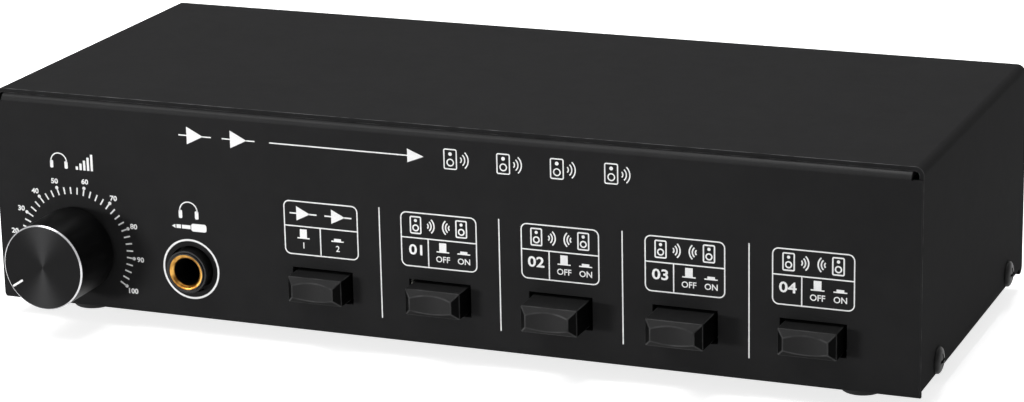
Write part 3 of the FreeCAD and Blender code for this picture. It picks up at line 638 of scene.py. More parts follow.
def turned_metal(name, tint, roughness, anisotropic, tarnish_and_dark_reflection):
    """Metal turned on a lathe: rings fan out its shine; tarnished patches also paint dark
    reflection.
    """
    material, graph, shader = new_material(
        name,
        metallic=1.0,
        anisotropic=anisotropic,
        anisotropic_rotation=QUARTER_TURN,
        roughness=roughness,
    )
    places = graph.add("ShaderNodeTexCoord").outputs
    offset = graph.vector("SUBTRACT", places["Generated"], (0.5, 0.0, 0.5))
    flat = graph.vector("MULTIPLY", offset["Vector"], (1.0, 0.0, 1.0))
    radius = graph.vector("LENGTH", flat["Vector"])["Value"]
    rings = graph.add(
        "ShaderNodeTexNoise",
        {"W": graph.math("MULTIPLY", radius, RINGS), "Scale": 1.0, "Detail": 3.0},
        noise_dimensions="1D",
    ).outputs["Fac"]
    body = waver(graph, graph.remap(rings, *WIDE_MOTTLE), tint, 0.8, 1.2)
    # Darker patches: tarnished metal, and painted dark reflection in the metal's colour.
    patches = graph.noise(places["Object"], TARNISH_AND_REFLECTION_SCALE, 2.0)
    tarnished_and_reflecting = graph.remap(patches, 0.42, 0.58, 0.0, tarnish_and_dark_reflection)
    darker = rgba((tint[0], tint[1] * 0.75, tint[2] * 0.5), 0.25)
    join(graph, graph.mix(tarnished_and_reflecting, body, darker), shader, "Base Color")
    turn_tangent(graph, shader)
    bump(graph, shader, rings, 0.06, 0.01 * MM)
    return material


# Plastics, rubber and black steel: colour, roughness and what differs from plain moulded plastic.
MOULDED = {
    "black_steel": ((0.003, 0.003, 0.0031), 0.42, {"relief": 0.05, "gloss": 0.14}),
    # Cap edges go much paler: scuffs and a painted highlight.
    "cap_plastic": ("cap", 0.46, {"gloss": 0.07, "worn_and_highlight_lift": 0.022}),
    # Sides and underside of a cap: a darker copy of the cap plastic, painted shade.
    "cap_side": ((0.0016, 0.0016, 0.0016), 0.4, {"gloss": 0.02, "dusty": 0.01}),
    "socket_plastic": ((0.003, 0.003, 0.003), 0.4, {"gloss": 0.2, "dusty": 0.0}),
    "block_plastic": ((0.012, 0.012, 0.0125), 0.45, {"gloss": 0.25}),
    "lever_red": ("red", 0.3, {"relief": 0.06}),
    "lever_black": ((0.015, 0.015, 0.016), 0.3, {"relief": 0.06}),
    "housing_plastic": ((0.16, 0.16, 0.17), 0.45, {}),
    "rod_plastic": ((0.6, 0.58, 0.52), 0.4, {}),
    "nylon": ((0.68, 0.66, 0.6), 0.42, {}),
    "rubber": ("rubber", 0.75, {"gloss": 0.3}),
    "ceramic": ((0.72, 0.7, 0.64), 0.6, {"relief": 0.3}),
    "solder_mask": ((0.012, 0.1, 0.035), 0.3, {"relief": 0.04}),
}
# Metals: colour, roughness and the run of the tool marks.
METALS = {
    "cut_edge": ("bare_edge", 0.22, TURNED_MARKS),
    "nickel": ((0.55, 0.54, 0.52), 0.28, ROLLED_MARKS),
}
# Metals turned on a lathe: colour, roughness, how far the shine fans out, and how strongly the
# tarnished patches show, which also paint dark reflection.
TURNED = {"spun_metal": ("spun", 0.4, 0.86, 0.0), "gold": ("gold", 0.3, 0.0, 0.95)}
INKS = {"white_paint": (0.74, 0.74, 0.74), "panel_ink": "ink"}


def tint_of(finish, tint):
    """A colour, or the user's colour of that name."""
    return getattr(finish, tint) if isinstance(tint, str) else tint


def make_finish(finish, name, key, wear):
    """The finish of that name, under its key."""
    if name in MOULDED:
        tint, roughness, extras = MOULDED[name]
        return moulded(key, tint_of(finish, tint), roughness, wear, **extras)
    if name in METALS:
        tint, roughness, stretch = METALS[name]
        return metal(key, tint_of(finish, tint), roughness, stretch)
    if name in INKS:
        return print_ink(key, tint_of(finish, INKS[name]))
    if name in TURNED:
        tint, *surface = TURNED[name]
        return turned_metal(key, tint_of(finish, tint), *surface)
    if name == "anodised":
        return anodised(finish, key, wear)
    return powder_coat(finish, key, wear, bent=name == "bent_coat")


def use(context, name, rubbed_and_lit=False):
    """A shared finish, made the first time that it is asked for."""
    key = f"selector_{name}_edge" if rubbed_and_lit else f"selector_{name}"
    made = bpy.data.materials.get(key)
    if made:
        return made
    # Edges take the paler colour in full, scuffs and a painted highlight; faces only faint scuffs.
    wear = EDGE_WEAR_AND_HIGHLIGHT if rubbed_and_lit else FACE_WEAR
    return make_finish(context.scene.selector_finish, name, key, wear)


def refine(context, node, finish, rounding):
    """A CAD node with its finish, its facets joined and its edges rounded to catch the light."""
    piece = frame["nodes"][node]
    piece.data.materials.clear()
    piece.data.materials.append(use(context, finish))
    # Second slot: the paler edge copy of the finish, scuffs and a painted highlight.
    piece.data.materials.append(use(context, finish, rubbed_and_lit=True))
    imported = piece.data.attributes.get("custom_normal")
    if imported:
        piece.data.attributes.remove(imported)
    piece.data.shade_smooth()
    piece.modifiers.new("weld", "WELD").merge_threshold = TOUCHING
    flats = piece.modifiers.new("flats", "DECIMATE")
    flats.decimate_type = "DISSOLVE"
    flats.angle_limit = FLAT_ANGLE
    edges = piece.modifiers.new("edges", "BEVEL")
    edges.width = rounding
    edges.segments = EDGE_SEGMENTS
    edges.limit_method = "ANGLE"
    edges.angle_limit = SHARP_ANGLE
    edges.material = 1
    normals = piece.modifiers.new("normals", "WEIGHTED_NORMAL")
    normals.weight = 100
    normals.keep_sharp = True
    return piece


# Mesh tools --------------------------------------------------------------------------------------


def new_object(name, data):
    """An object that the scene holds."""
    piece = bpy.data.objects.new(name, data)
    bpy.context.scene.collection.objects.link(piece)
    return piece


def finish_mesh(name, mesh_maker, body, slot, *materials, smooth_angle=35.0):
    """A piece from a bmesh: outward normals, smooth faces with sharp creases, riding on a body."""
    bmesh.ops.recalc_face_normals(mesh_maker, faces=mesh_maker.faces)
    mesh = bpy.data.meshes.new(name)
    mesh_maker.to_mesh(mesh)
    mesh_maker.free()
    piece = new_object(name, mesh)
    mesh.shade_smooth()
    mesh.set_sharp_from_angle(angle=math.radians(smooth_angle))
    for material in materials:
        mesh.materials.append(material)
    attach(piece, body)
    return piece


# When an outline's corner is rounded: the angle that counts as straight, and the share of the
# shorter side that an arc may take.
STRAIGHT = math.radians(179)
ARC_ROOM = 0.48


def soften(points, radius, steps=4):
    """Rounds the inner corners of an open outline with arcs."""
    softened = [points[0]]
    for before, corner, after in zip(points, points[1:], points[2:]):
        corner_point, into, out_of = Vector(corner), Vector(before), Vector(after)
        arrive = (into - corner_point).normalized()
        leave = (out_of - corner_point).normalized()
        angle = arrive.angle(leave)
        if angle > STRAIGHT:
            softened.append(corner)
            continue
        room = min((into - corner_point).length, (out_of - corner_point).length) * ARC_ROOM
        reach = min(radius / math.tan(angle / 2), room)
        bend = reach * math.tan(angle / 2)
        centre = corner_point + (arrive + leave).normalized() * (bend / math.sin(angle / 2))
        start = corner_point + arrive * reach - centre
        sweep = math.pi - angle
        turn = 1.0 if arrive.x * leave.y - arrive.y * leave.x < 0 else -1.0
        for step in range(steps + 1):
            turned = Matrix.Rotation(turn * sweep * step / steps, 2) @ start
            softened.append(tuple(centre + turned))
    softened.append(points[-1])
    return softened


# First, second and turning axis of each lathe direction.
AXIS_ORDER = {"X": (1, 2, 0), "Y": (0, 2, 1), "Z": (0, 1, 2)}


def place_on(axis, centre, across, up, level):
    """A point across and up from a centre, at a level along an axis."""
    first, second, along = AXIS_ORDER[axis]
    place = [0.0, 0.0, 0.0]
    place[first] = centre[first] + across
    place[second] = centre[second] + up
    place[along] = level
    return place


def lathe(profile, centre, axis="Y", segments=96):
    """Turns an outline of (radius, level) about the line through the centre along an axis."""
    maker = bmesh.new()
    rings = []
    for radius, level in profile:
        ring = []
        for step in range(segments if radius > SAME_POINT else 1):
            angle = 2 * math.pi * step / segments
            across, up = radius * math.cos(angle), radius * math.sin(angle)
            ring.append(maker.verts.new(place_on(axis, centre, across, up, level)))
        rings.append(ring)
    for ring, neighbour in zip(rings, rings[1:]):
        for step in range(segments):
            following = step + 1
            corners = [ring[step % len(ring)], ring[following % len(ring)]]
            corners += [neighbour[following % len(neighbour)], neighbour[step % len(neighbour)]]
            unique = list(dict.fromkeys(corners))
            if len(unique) > 2:
                maker.faces.new(unique)
    return maker


def close_block(maker, low, high):
    """Two end faces and the walls between them, over two outlines of vertices."""
    maker.faces.new(low)
    maker.faces.new(list(reversed(high)))
    for index in range(len(low)):
        following = (index + 1) % len(low)
        maker.faces.new((low[index], low[following], high[following], high[index]))


def prism(outline, centre, axis, start, end):
    """A closed block over an outline of (across, up) points, between two levels along an axis."""
    maker = bmesh.new()
    low, high = (
        [maker.verts.new(place_on(axis, centre, *point, level)) for point in outline]
        for level in (start, end)
    )
    close_block(maker, low, high)
    return maker


def choose_finishes(maker, centre, choose):
    """Gives each face of a piece turned along Y the finish that choose(radius, level) names."""
    for face in maker.faces:
        spot = face.calc_center_median()
        out = math.hypot(spot.x - centre.x, spot.z - centre.z)
        face.material_index = choose(out, spot.y)


def carve(solid, cutter):
    """The first bmesh with the second one cut out of it."""
    bodies = []
    for name, maker in (("solid", solid), ("cutter", cutter)):
        bmesh.ops.recalc_face_normals(maker, faces=maker.faces)
        mesh = bpy.data.meshes.new(name)
        maker.to_mesh(mesh)
        maker.free()
        bodies.append(new_object(name, mesh))
    cut = bodies[0].modifiers.new("cut", "BOOLEAN")
    cut.operation = "DIFFERENCE"
    cut.solver = "EXACT"
    cut.object = bodies[1]
    bpy.context.view_layer.update()
    carved = bmesh.new()
    carved.from_object(bodies[0], bpy.context.evaluated_depsgraph_get())
    for body in bodies:
        mesh = body.data
        bpy.data.objects.remove(body)
        bpy.data.meshes.remove(mesh)
    return carved


def gather(whole, part):
    """Adds one bmesh to another."""
    mesh = bpy.data.meshes.new("part")
    part.to_mesh(mesh)
    part.free()
    whole.from_mesh(mesh)
    bpy.data.meshes.remove(mesh)


# Panel print -------------------------------------------------------------------------------------


class Ink:
    """Thin closed slabs of print on a face. Outlines are in millimetres, across and up."""

    SUNK_SHARE = 0.3

    def __init__(self, level, thickness, outward=-1.0):
        self.maker = bmesh.new()
        self.outward = outward
        self.base = level - outward * thickness * self.SUNK_SHARE
        self.top = level + outward * thickness

    def spot(self, point, level):
        return self.maker.verts.new((point[0] * MM, level, point[1] * MM))

    def slab(self, outline):
        """A filled convex outline."""
        low = [self.spot(point, self.base) for point in outline]
        high = [self.spot(point, self.top) for point in outline]
        close_block(self.maker, low, high)

    def band(self, outer, inner, closed=True):
        """A strip between two outlines with the same number of points."""
        base, top = self.base, self.top
        sides = ((outer, base), (inner, base), (inner, top), (outer, top))
        rails = [[self.spot(point, level) for point in outline] for outline, level in sides]
        count = len(outer)
        for index in range(count if closed else count - 1):
            following = (index + 1) % count
            for rail, neighbour in zip(rails, rails[1:] + rails[:1]):
                corners = (rail[index], rail[following], neighbour[following], neighbour[index])
                self.maker.faces.new(corners)
        if not closed:
            self.maker.faces.new([rail[0] for rail in rails])
            self.maker.faces.new([rail[-1] for rail in reversed(rails)])

    def bar(self, start, end, width):
        """A straight line with square ends."""
        start, end = Vector(start), Vector(end)
        side = (end - start).orthogonal().normalized() * width / 2
        self.slab([start + side, start - side, end - side, end + side])

    def box(self, left, bottom, right, top):
        self.slab([(left, bottom), (right, bottom), (right, top), (left, top)])

    def disc(self, centre, radius, count=20):
        self.slab(arc(centre, radius, 0, 360, count)[:-1])

    def ring(self, centre, radius, width, count=72):
        outer = arc(centre, radius + width / 2, 0, 360, count)[:-1]
        inner = arc(centre, radius - width / 2, 0, 360, count)[:-1]
        self.band(outer, inner)

    def curve(self, centre, radius, start, end, width, count=16):
        """A line along an arc, with square ends."""
        outer = arc(centre, radius + width / 2, start, end, count)
        inner = arc(centre, radius - width / 2, start, end, count)
        self.band(outer, inner, closed=False)

    def rounded_frame(self, centre, width, height, radius, line):
        """A line round a rectangle with rounded corners, laid inside its size."""
        outlines = []
        for inset in (0.0, line):
            corner = max(radius - inset, 0.05)
            outlines.append(rounded_outline(centre, width - 2 * inset, height - 2 * inset, corner))
        self.band(*outlines)

    def text(self, words, centre, height, stretch=1.0, weight=0.012):
        """Plain figures and words from the built-in font, centred, with a given height."""
        letters = bpy.data.curves.new("letters", "FONT")
        letters.body = words
        letters.size = 1.0
        letters.offset = weight
        letters.resolution_u = 3
        letters.extrude = 0.5
        carrier = new_object("letters", letters)
        bpy.context.view_layer.update()
        shaped = carrier.evaluated_get(bpy.context.evaluated_depsgraph_get())
        mesh = bpy.data.meshes.new_from_object(shaped)
        bpy.data.objects.remove(carrier)
        bpy.data.curves.remove(letters)
        spots = np.array([vertex.co for vertex in mesh.vertices])
        low, high = spots.min(0), spots.max(0)
        size = height * MM / (high[1] - low[1])
        facing = -self.outward
        depth = abs(self.top - self.base)
        centre_level = (self.top + self.base) / 2
        for vertex in mesh.vertices:
            across = (vertex.co.x - (low[0] + high[0]) / 2) * size * stretch * facing
            up = (vertex.co.y - (low[1] + high[1]) / 2) * size
            level = centre_level + vertex.co.z * depth
            vertex.co = (centre[0] * MM + across, level, centre[1] * MM + up)
        self.maker.from_mesh(mesh)
        bpy.data.meshes.remove(mesh)

    def finish(self, name, material):
        """The print as a piece that rides on the case."""
        return finish_mesh(name, self.maker, "case", "panel_ink", material, smooth_angle=20.0)


def arc(centre, radius, start, end, count):
    """Points on an arc. Angles are clockwise from the top, in degrees."""
    points = []
    for step in range(count + 1):
        angle = math.radians(start + (end - start) * step / count)
        points.append((centre[0] + radius * math.sin(angle), centre[1] + radius * math.cos(angle)))
    return points


def rounded_outline(centre, width, height, radius, steps=6):
    """Points clockwise round a rectangle with rounded corners."""
    points = []
    half_width, half_height = width / 2 - radius, height / 2 - radius
    for across, up, start in ((1, 1, 0), (1, -1, 90), (-1, -1, 180), (-1, 1, 270)):
        corner = (centre[0] + across * half_width, centre[1] + up * half_height)
        points += arc(corner, radius, start, start + 90, steps)
    return points


def draw_amplifier(ink, centre, height, line):
    """A solid triangle pointing right, with a lead in and a lead out."""
    across, up = centre
    half = height / 2
    ink.slab([(across - half, up - half), (across - half, up + half), (across + half, up)])
    ink.bar((across - height, up), (across - half, up), line)
    ink.bar((across + half - line, up), (across + height, up), line)


def draw_loudspeaker(ink, centre, height, line):
    """A cabinet with a large cone below and a small one above."""
    across, up = centre
    large, small = height * 0.16, height * 0.09
    ink.rounded_frame(centre, height * 0.68, height, height * 0.1, line)
    ink.ring((across, up - large), large, line, 28)
    ink.disc((across, up + height * 0.25), small, 16)


def draw_sound(ink, centre, height, line, towards):
    """Three arcs spreading to the left (-1) or the right (1)."""
    ahead, spread = 90 * towards, 48
    for step in (1, 2, 3):
        radius = height * 0.17 * step
        ink.curve(centre, radius, ahead - spread, ahead + spread, line, 10)


def draw_headphones(ink, centre, width, line):
    """A headband over two ear cushions."""
    across, up = centre
    radius = width / 2
    ink.curve(centre, radius, -90, 90, line, 24)
    cushion = width * 0.2
    for side in (-1, 1):
        ear = (across + side * (radius - cushion * 0.2), up - cushion * 0.8)
        ink.slab(rounded_outline(ear, cushion, cushion * 2.2, cushion * 0.35, 4))


def draw_volume(ink, centre, width):
    """Five bars that rise to the right."""
    across, up = centre
    bars = 5
    pitch, rise = width / bars, width * 0.16
    for step in range(bars):
        left = across - width / 2 + step * pitch
        ink.box(left, up, left + pitch * 0.6, up + rise * (step + 1))


def draw_plug(ink, centre, length_across):
    """A headphone plug lying on its side: point, ring, shank and grip, from the left."""
    across, up = centre
    left = across - length_across / 2
    unit = length_across / 10
    half = unit * 0.5
    ink.slab([(left, up), (left + unit, up + unit * 0.55), (left + unit, up - unit * 0.55)])
    ink.box(left + unit * 1.3, up - half, left + unit * 2.6, up + half)
    ink.box(left + unit * 2.9, up - half, left + unit * 5.4, up + half)
    ink.slab(rounded_outline((left + unit * 7.8, up), unit * 4.4, unit * 2.1, unit * 0.6, 4))


def draw_mark(ink, across, up, height, line):
    """A button seen from above its panel line: high when out, low when in."""
    ink.box(across - MARK_BASE / 2, up, across + MARK_BASE / 2, up + line)
    ink.box(across - MARK_WIDTH / 2, up + line, across + MARK_WIDTH / 2, up + line + height)


# The stage ---------------------------------------------------------------------------------------


def camera_rotation():
    """Columns right, up and back of a camera turned left, tipped down and rolled."""
    yaw, pitch, roll = (math.radians(angle) for angle in (CAMERA_YAW, CAMERA_PITCH, CAMERA_ROLL))
    ahead = Vector(
        (-math.sin(yaw) * math.cos(pitch), math.cos(yaw) * math.cos(pitch), -math.sin(pitch))
    )
    level_right = Vector((math.cos(yaw), math.sin(yaw), 0.0))
    level_down = ahead.cross(level_right)
    right = math.cos(roll) * level_right + math.sin(roll) * level_down
    down = math.cos(roll) * level_down - math.sin(roll) * level_right
    return Matrix((right, -down, -ahead)).transposed()


def add_camera(studio):
    """The camera that looks down on the case from the right of its front."""
    lens = bpy.data.cameras.new("camera")
    lens.lens = studio.focal_length
    lens.sensor_width = SENSOR_WIDTH
    lens.clip_start, lens.clip_end = NEAREST, FARTHEST
    camera = new_object("camera", lens)
    camera.matrix_world = Matrix.Translation(CAMERA_PLACE) @ camera_rotation().to_4x4()
    bpy.context.scene.camera = camera


def add_soft_box(name, place, target, sides, power):
    """A rectangular lamp that faces its target."""
    light = bpy.data.lights.new(name, "AREA")
    light.shape = "RECTANGLE"
    light.size, light.size_y = sides
    light.energy = power
    lamp = new_object(name, light)
    lamp.location = place
    lamp.rotation_euler = (Vector(target) - Vector(place)).to_track_quat("-Z", "Y").to_euler()


def backdrop_rays(graph):
    """1 for the rays that see the plain backdrop: straight, by reflection or through glass."""
    path = graph.add("ShaderNodeLightPath").outputs
    seen = graph.math("MAXIMUM", path["Is Camera Ray"], path["Is Glossy Ray"])
    return graph.math("MAXIMUM", seen, path["Is Transmission Ray"])


def add_floor(studio):
    """A plain pale floor that keeps the shadow and fades into the white round it."""
    maker = bmesh.new()
    bmesh.ops.create_circle(maker, cap_ends=True, segments=64, radius=FLOOR_RADIUS)
    mesh = bpy.data.meshes.new("floor")
    maker.to_mesh(mesh)
    maker.free()
    new_object("floor", mesh)
    material = bpy.data.materials.new("floor")
    graph = empty_graph(material)
    matt = graph.add("ShaderNodeBsdfDiffuse", {"Color": rgba(studio.floor)})
    lift = graph.add(
        "ShaderNodeEmission",
        {"Strength": graph.math("MULTIPLY", backdrop_rays(graph), studio.floor_lift)},
    )
    both = graph.add("ShaderNodeAddShader", {0: matt.outputs[0], 1: lift.outputs[0]})
    graph.add("ShaderNodeOutputMaterial", {"Surface": both.outputs[0]})
    mesh.materials.append(material)


def add_world(studio):
    """Even light that comes more from the left, behind a plain white backdrop."""
    world = bpy.data.worlds.new("studio")
    bpy.context.scene.world = world
    graph = empty_graph(world)
    sky = graph.add("ShaderNodeTexCoord").outputs["Generated"]
    across = graph.add("ShaderNodeSeparateXYZ", {0: sky}).outputs["X"]
    left, right = studio.fill * FILL_FROM_LEFT, studio.fill * FILL_FROM_RIGHT
    soft = graph.remap(across, -1.0, 1.0, left, right)
    seen = backdrop_rays(graph)
    unseen = graph.math("SUBTRACT", 1.0, seen)
    strength = graph.math("ADD", graph.math("MULTIPLY", unseen, soft), seen)
    background = graph.add(
        "ShaderNodeBackground", {"Color": (1.0, 1.0, 1.0, 1.0), "Strength": strength}
    )
    graph.add("ShaderNodeOutputWorld", {"Surface": background.outputs[0]})


# Operators ---------------------------------------------------------------------------------------


class SELECTOR_OT_case(bpy.types.Operator):
    """Powder coat the chassis and the top cover"""

    bl_idname = "selector.case"
    bl_label = "Case"

    def execute(self, context):
        pieces = context.scene.selector_pieces
        refine(context, "chassis", "powder_coat", pieces.sheet_edge)
        refine(context, "top_cover", "powder_coat", pieces.cover_edge)
        chassis = frame["nodes"]["chassis"].data
        chassis.materials.append(use(context, "bent_coat"))
        for face in chassis.polygons:
            if abs(face.normal.y) > BEND_TILT and face.normal.z > BEND_TILT:
                face.material_index = 2
        return {"FINISHED"}


def rest_angle():
    """Clockwise angle of the pointer at the dial's zero, half the turn before the top."""
    turn = next(joint for joint in frame["joints"] if joint["name"] == "volume_turn")
    return -turn["range_deg"][1] / 2


def knob_profile(pieces, low, high):
    """Half section of the knob, from the bore's end round the back to the middle of the face."""
    radius = (high.x - low.x) / 2
    shaft_low, shaft_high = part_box("volume_shaft")
    bore = (shaft_high.x - shaft_low.x) / 2 + KNOB_RUNNING_GAP
    bore_end = shaft_low.y - KNOB_RUNNING_GAP
    hollow = radius * KNOB_HOLLOW
    hollow_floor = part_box("volume_nut_and_washer")[0].y - KNOB_NUT_GAP
    chamfer = pieces.knob_chamfer
    front, back = low.y + POINTER_INK, high.y
    inside = [(0.0, bore_end), (bore, bore_end), (bore, hollow_floor), (hollow, hollow_floor)]
    rim = soften(
        [(hollow, back), (radius, back), (radius, front + chamfer)], pieces.knob_rim
    )
    return inside + rim + [(radius - chamfer, front), (0.0, front)]


class SELECTOR_OT_knob(bpy.types.Operator):
    """Turn the volume knob, and finish what it is mounted on"""

    bl_idname = "selector.knob"
    bl_label = "Volume knob"

    def execute(self, context):
        pieces = context.scene.selector_pieces
        low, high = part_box("knob")
        centre = middle("knob")
        radius = (high.x - low.x) / 2
        front = low.y + POINTER_INK
        chamfer = pieces.knob_chamfer
        maker = lathe(knob_profile(pieces, low, high), centre, "Y", KNOB_FACETS)

        def choose(out, level):
            if level < front + TOUCHING:
                return 2
            return int(level < front + chamfer - TOUCHING and out > radius - chamfer)

        choose_finishes(maker, centre, choose)
        finishes = [use(context, name) for name in ("anodised", "cut_edge", "spun_metal")]
        knob = finish_mesh(
            "turned_knob", maker, "volume_knob", "knob_metal", *finishes, smooth_angle=20.0
        )
        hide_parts("knob")
        tip = (radius - chamfer * POINTER_INSET) / MM
        start = math.radians(rest_angle())
        direction = Vector((math.sin(start), math.cos(start)))
        hub = Vector(seen_from_front("knob"))
        line = Ink(front, POINTER_INK)
        root = hub + direction * (tip - pieces.pointer_length / MM)
        line.bar(root, hub + direction * tip, pieces.pointer_width / MM)
        paint = use(context, "white_paint")
        finish_mesh("knob_pointer", line.maker, "volume_knob", "knob_metal", paint)
        for node in KNOB_MOUNT:
            refine(context, node, "nickel", pieces.small_edge)
        return {"FINISHED"}


def sleeve_profile(pieces, low, high):
    """Half section of the sleeve: a black barrel and rim, then a gold lip rolled into the bore."""
    outer = (high.x - low.x) / 2
    inner = outer - pieces.sleeve_wall
    rim = outer - pieces.socket_rim
    front, back = low.y, high.y
    barrel = [(outer, back), (outer, front), (rim, front), (rim, front + pieces.rim_step)]
    profile = [(inner, back)] + soften(barrel, pieces.lip, 5)
    roll = pieces.gold_depth - pieces.rim_step
    for number in range(1, LIP_STEPS + 1):
        turn = math.pi / 2 * number / LIP_STEPS
        out = inner + (rim - inner) * (1.0 - math.sin(turn))
        profile.append((out, front + pieces.gold_depth - roll * math.cos(turn)))
    return profile + [(inner, back)]


class SELECTOR_OT_socket(bpy.types.Operator):
    """Turn the socket's gold sleeve and round its barrel"""

    bl_idname = "selector.socket"
    bl_label = "Headphone socket"

    def execute(self, context):
        pieces = context.scene.selector_pieces
        low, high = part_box("jack_sleeve")
        centre = middle("jack_sleeve")
        rim = (high.x - low.x) / 2 - pieces.socket_rim
        gold_end = low.y + pieces.gold_depth
        maker = lathe(sleeve_profile(pieces, low, high), centre)
        bmesh.ops.remove_doubles(maker, verts=maker.verts, dist=SAME_POINT)

        def choose(out, level):
            return int(out > rim - TOUCHING or level > gold_end)

        choose_finishes(maker, centre, choose)
        finishes = [use(context, name) for name in ("gold", "socket_plastic")]
        sleeve = finish_mesh("gold_sleeve", maker, "case", "gold", *finishes)
        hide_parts("jack_sleeve")
        refine(context, "jack_body", "socket_plastic", pieces.lip)
        return {"FINISHED"}


class SELECTOR_OT_buttons(bpy.types.Operator):
    """Finish the button caps, their plungers and their switches"""

    bl_idname = "selector.buttons"
    bl_label = "Push buttons"

    def execute(self, context):
        edge = context.scene.selector_pieces.moulded_edge
        for node in BUTTONS:
            cap = refine(context, node, "cap_plastic", edge).data
            # Sides and underside of the cap take the darker copy: painted shade.
            cap.materials.append(use(context, "cap_side"))
            for face in cap.polygons:
                if abs(face.normal.x) > SIDE_TURN or face.normal.z < -SIDE_TURN:
                    face.material_index = 2
            refine(context, node.replace("button", "plunger"), "rod_plastic", edge)
        refine(context, "push_switches", "housing_plastic", edge)
        return {"FINISHED"}


def cross_outline(span, width):
    """Outline of a cross recess, across and up from its centre."""
    reach, half = span / 2, width / 2
    corners = []
    for first, second in ((1, 0), (0, 1), (-1, 0), (0, -1)):
        turned = [(reach, -half), (reach, half), (half, half)]
        for along, aside in turned:
            corners.append((along * first - aside * second, along * second + aside * first))
    return corners


def screw_blank(seat, top, point, sizes, centre):
    """A domed head on its shank, along X."""
    head, shank = sizes
    wall = seat + (top - seat) * HEAD_WALL
    profile = [(0.0, point), (shank, point), (shank, seat), (head, seat), (head, wall)]
    for step in range(1, DOME_STEPS + 1):
        turn = math.pi / 2 * step / DOME_STEPS
        radius = head * math.cos(turn) if step < DOME_STEPS else 0.0
        profile.append((radius, wall + (top - wall) * math.sin(turn)))
    return lathe(profile, centre, "X", SCREW_FACETS)


class SELECTOR_OT_screws(bpy.types.Operator):
    """Turn the cover screws' domed heads and cut their cross recesses"""

    bl_idname = "selector.screws"
    bl_label = "Cover screws"

    def execute(self, context):
        pieces = context.scene.selector_pieces
        low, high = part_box("cover_screws")
        head = (high.z - low.z) / 2
        sizes = (head, head * SHANK_SHARE)
        cross = cross_outline(pieces.recess_span, pieces.recess_width)
        screws = bmesh.new()
        for side in (-1, 1):
            seat = CASE_HIGH.x * side
            top = high.x * side
            point = seat - pieces.shank_length * side
            floor = top - pieces.recess_depth * side
            for back in (low.y + head, high.y - head):
                centre = Vector((0.0, back, (low.z + high.z) / 2))
                blank = screw_blank(seat, top, point, sizes, centre)
                cutter = prism(cross, centre, "X", floor, top + head * side)
                gather(screws, carve(blank, cutter))
        steel = use(context, "black_steel")
        piece = finish_mesh("domed_cover_screws", screws, "case", "screw_black", steel)
        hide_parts("cover_screws")
        return {"FINISHED"}


class SELECTOR_OT_feet(bpy.types.Operator):
    """Turn the rubber feet with a rounded lower edge and a hollow sole"""

    bl_idname = "selector.feet"
    bl_label = "Rubber feet"

    def execute(self, context):
        pieces = context.scene.selector_pieces
        rubber = use(context, "rubber")
        for node in FEET:
            low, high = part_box(node)
            radius = (high.x - low.x) / 2
            hollow = radius * FOOT_HOLLOW
            sole = low.z + pieces.foot_recess
            side = [(0.0, high.z), (radius, high.z), (radius, low.z), (hollow, low.z)]
            rounded = side[:2] + soften(side[1:], pieces.foot_rounding)[1:]
            outline = rounded + [(hollow * FOOT_SOLE, sole), (0.0, sole)]
            maker = lathe(outline, middle(node), "Z", FOOT_FACETS)
            foot = finish_mesh(f"rubber_{node}", maker, "case", "foot_rubber", rubber)
            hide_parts(node)
        return {"FINISHED"}


class SELECTOR_OT_terminals(bpy.types.Operator):
    """Finish the spring terminal blocks and their levers"""

    bl_idname = "selector.terminals"
    bl_label = "Rear terminals"

    def execute(self, context):
        pieces = context.scene.selector_pieces
        for letter, channels in BLOCK_CHANNELS.items():
            refine(context, f"terminal_block_{letter}", "block_plastic", pieces.moulded_edge)
            for number in range(1, len(channels) * LEVERS_PER_ROW + 1):
                tint = "lever_red" if number % 2 else "lever_black"
                refine(context, f"lever_{letter}{number}", tint, pieces.moulded_edge)
        return {"FINISHED"}


class SELECTOR_OT_inside(bpy.types.Operator):
    """Finish the boards and what stands on them"""

    bl_idname = "selector.inside"
    bl_label = "Inner pieces"

    def execute(self, context):
        edge = context.scene.selector_pieces.small_edge
        for node, finish in INNER_FINISHES.items():
            refine(context, node, finish, edge)
        return {"FINISHED"}


class SELECTOR_OT_dial(bpy.types.Operator):
    """Print the volume scale round the knob and the ring round the socket"""

    bl_idname = "selector.dial"
    bl_label = "Dial print"

    def execute(self, context):
        sizes = context.scene.selector_print
        ink = Ink(FRONT_Y, sizes.ink_thickness)
        hub = Vector(seen_from_front("knob"))
        start = rest_angle()
        step = -2 * start / DIAL_DIVISIONS
        for division in range(DIAL_DIVISIONS + 1):
            angle = math.radians(start + step * division)
            direction = Vector((math.sin(angle), math.cos(angle)))
            inner, outer = (hub + direction * out for out in DIAL_TICK)
            ink.bar(inner, outer, sizes.tick_line / MM)
            if division in DIAL_TENS:
                ink.disc(outer + direction * DIAL_DOT / 2, DIAL_DOT)
                number = str(DIAL_TENS.index(division) * 10)
                out = DIAL_NUMBER_OUT + DIAL_DIGIT_OUT * (len(number) - 2)
                place = hub + direction * out
                ink.text(number, place, sizes.number_height / MM, 1.1, 0.03)
        socket = seen_from_front("jack_sleeve")
        ink.ring(socket, sizes.ring_radius / MM, sizes.ring_line / MM)
        ink.finish("dial_print", use(context, "panel_ink"))
        return {"FINISHED"}


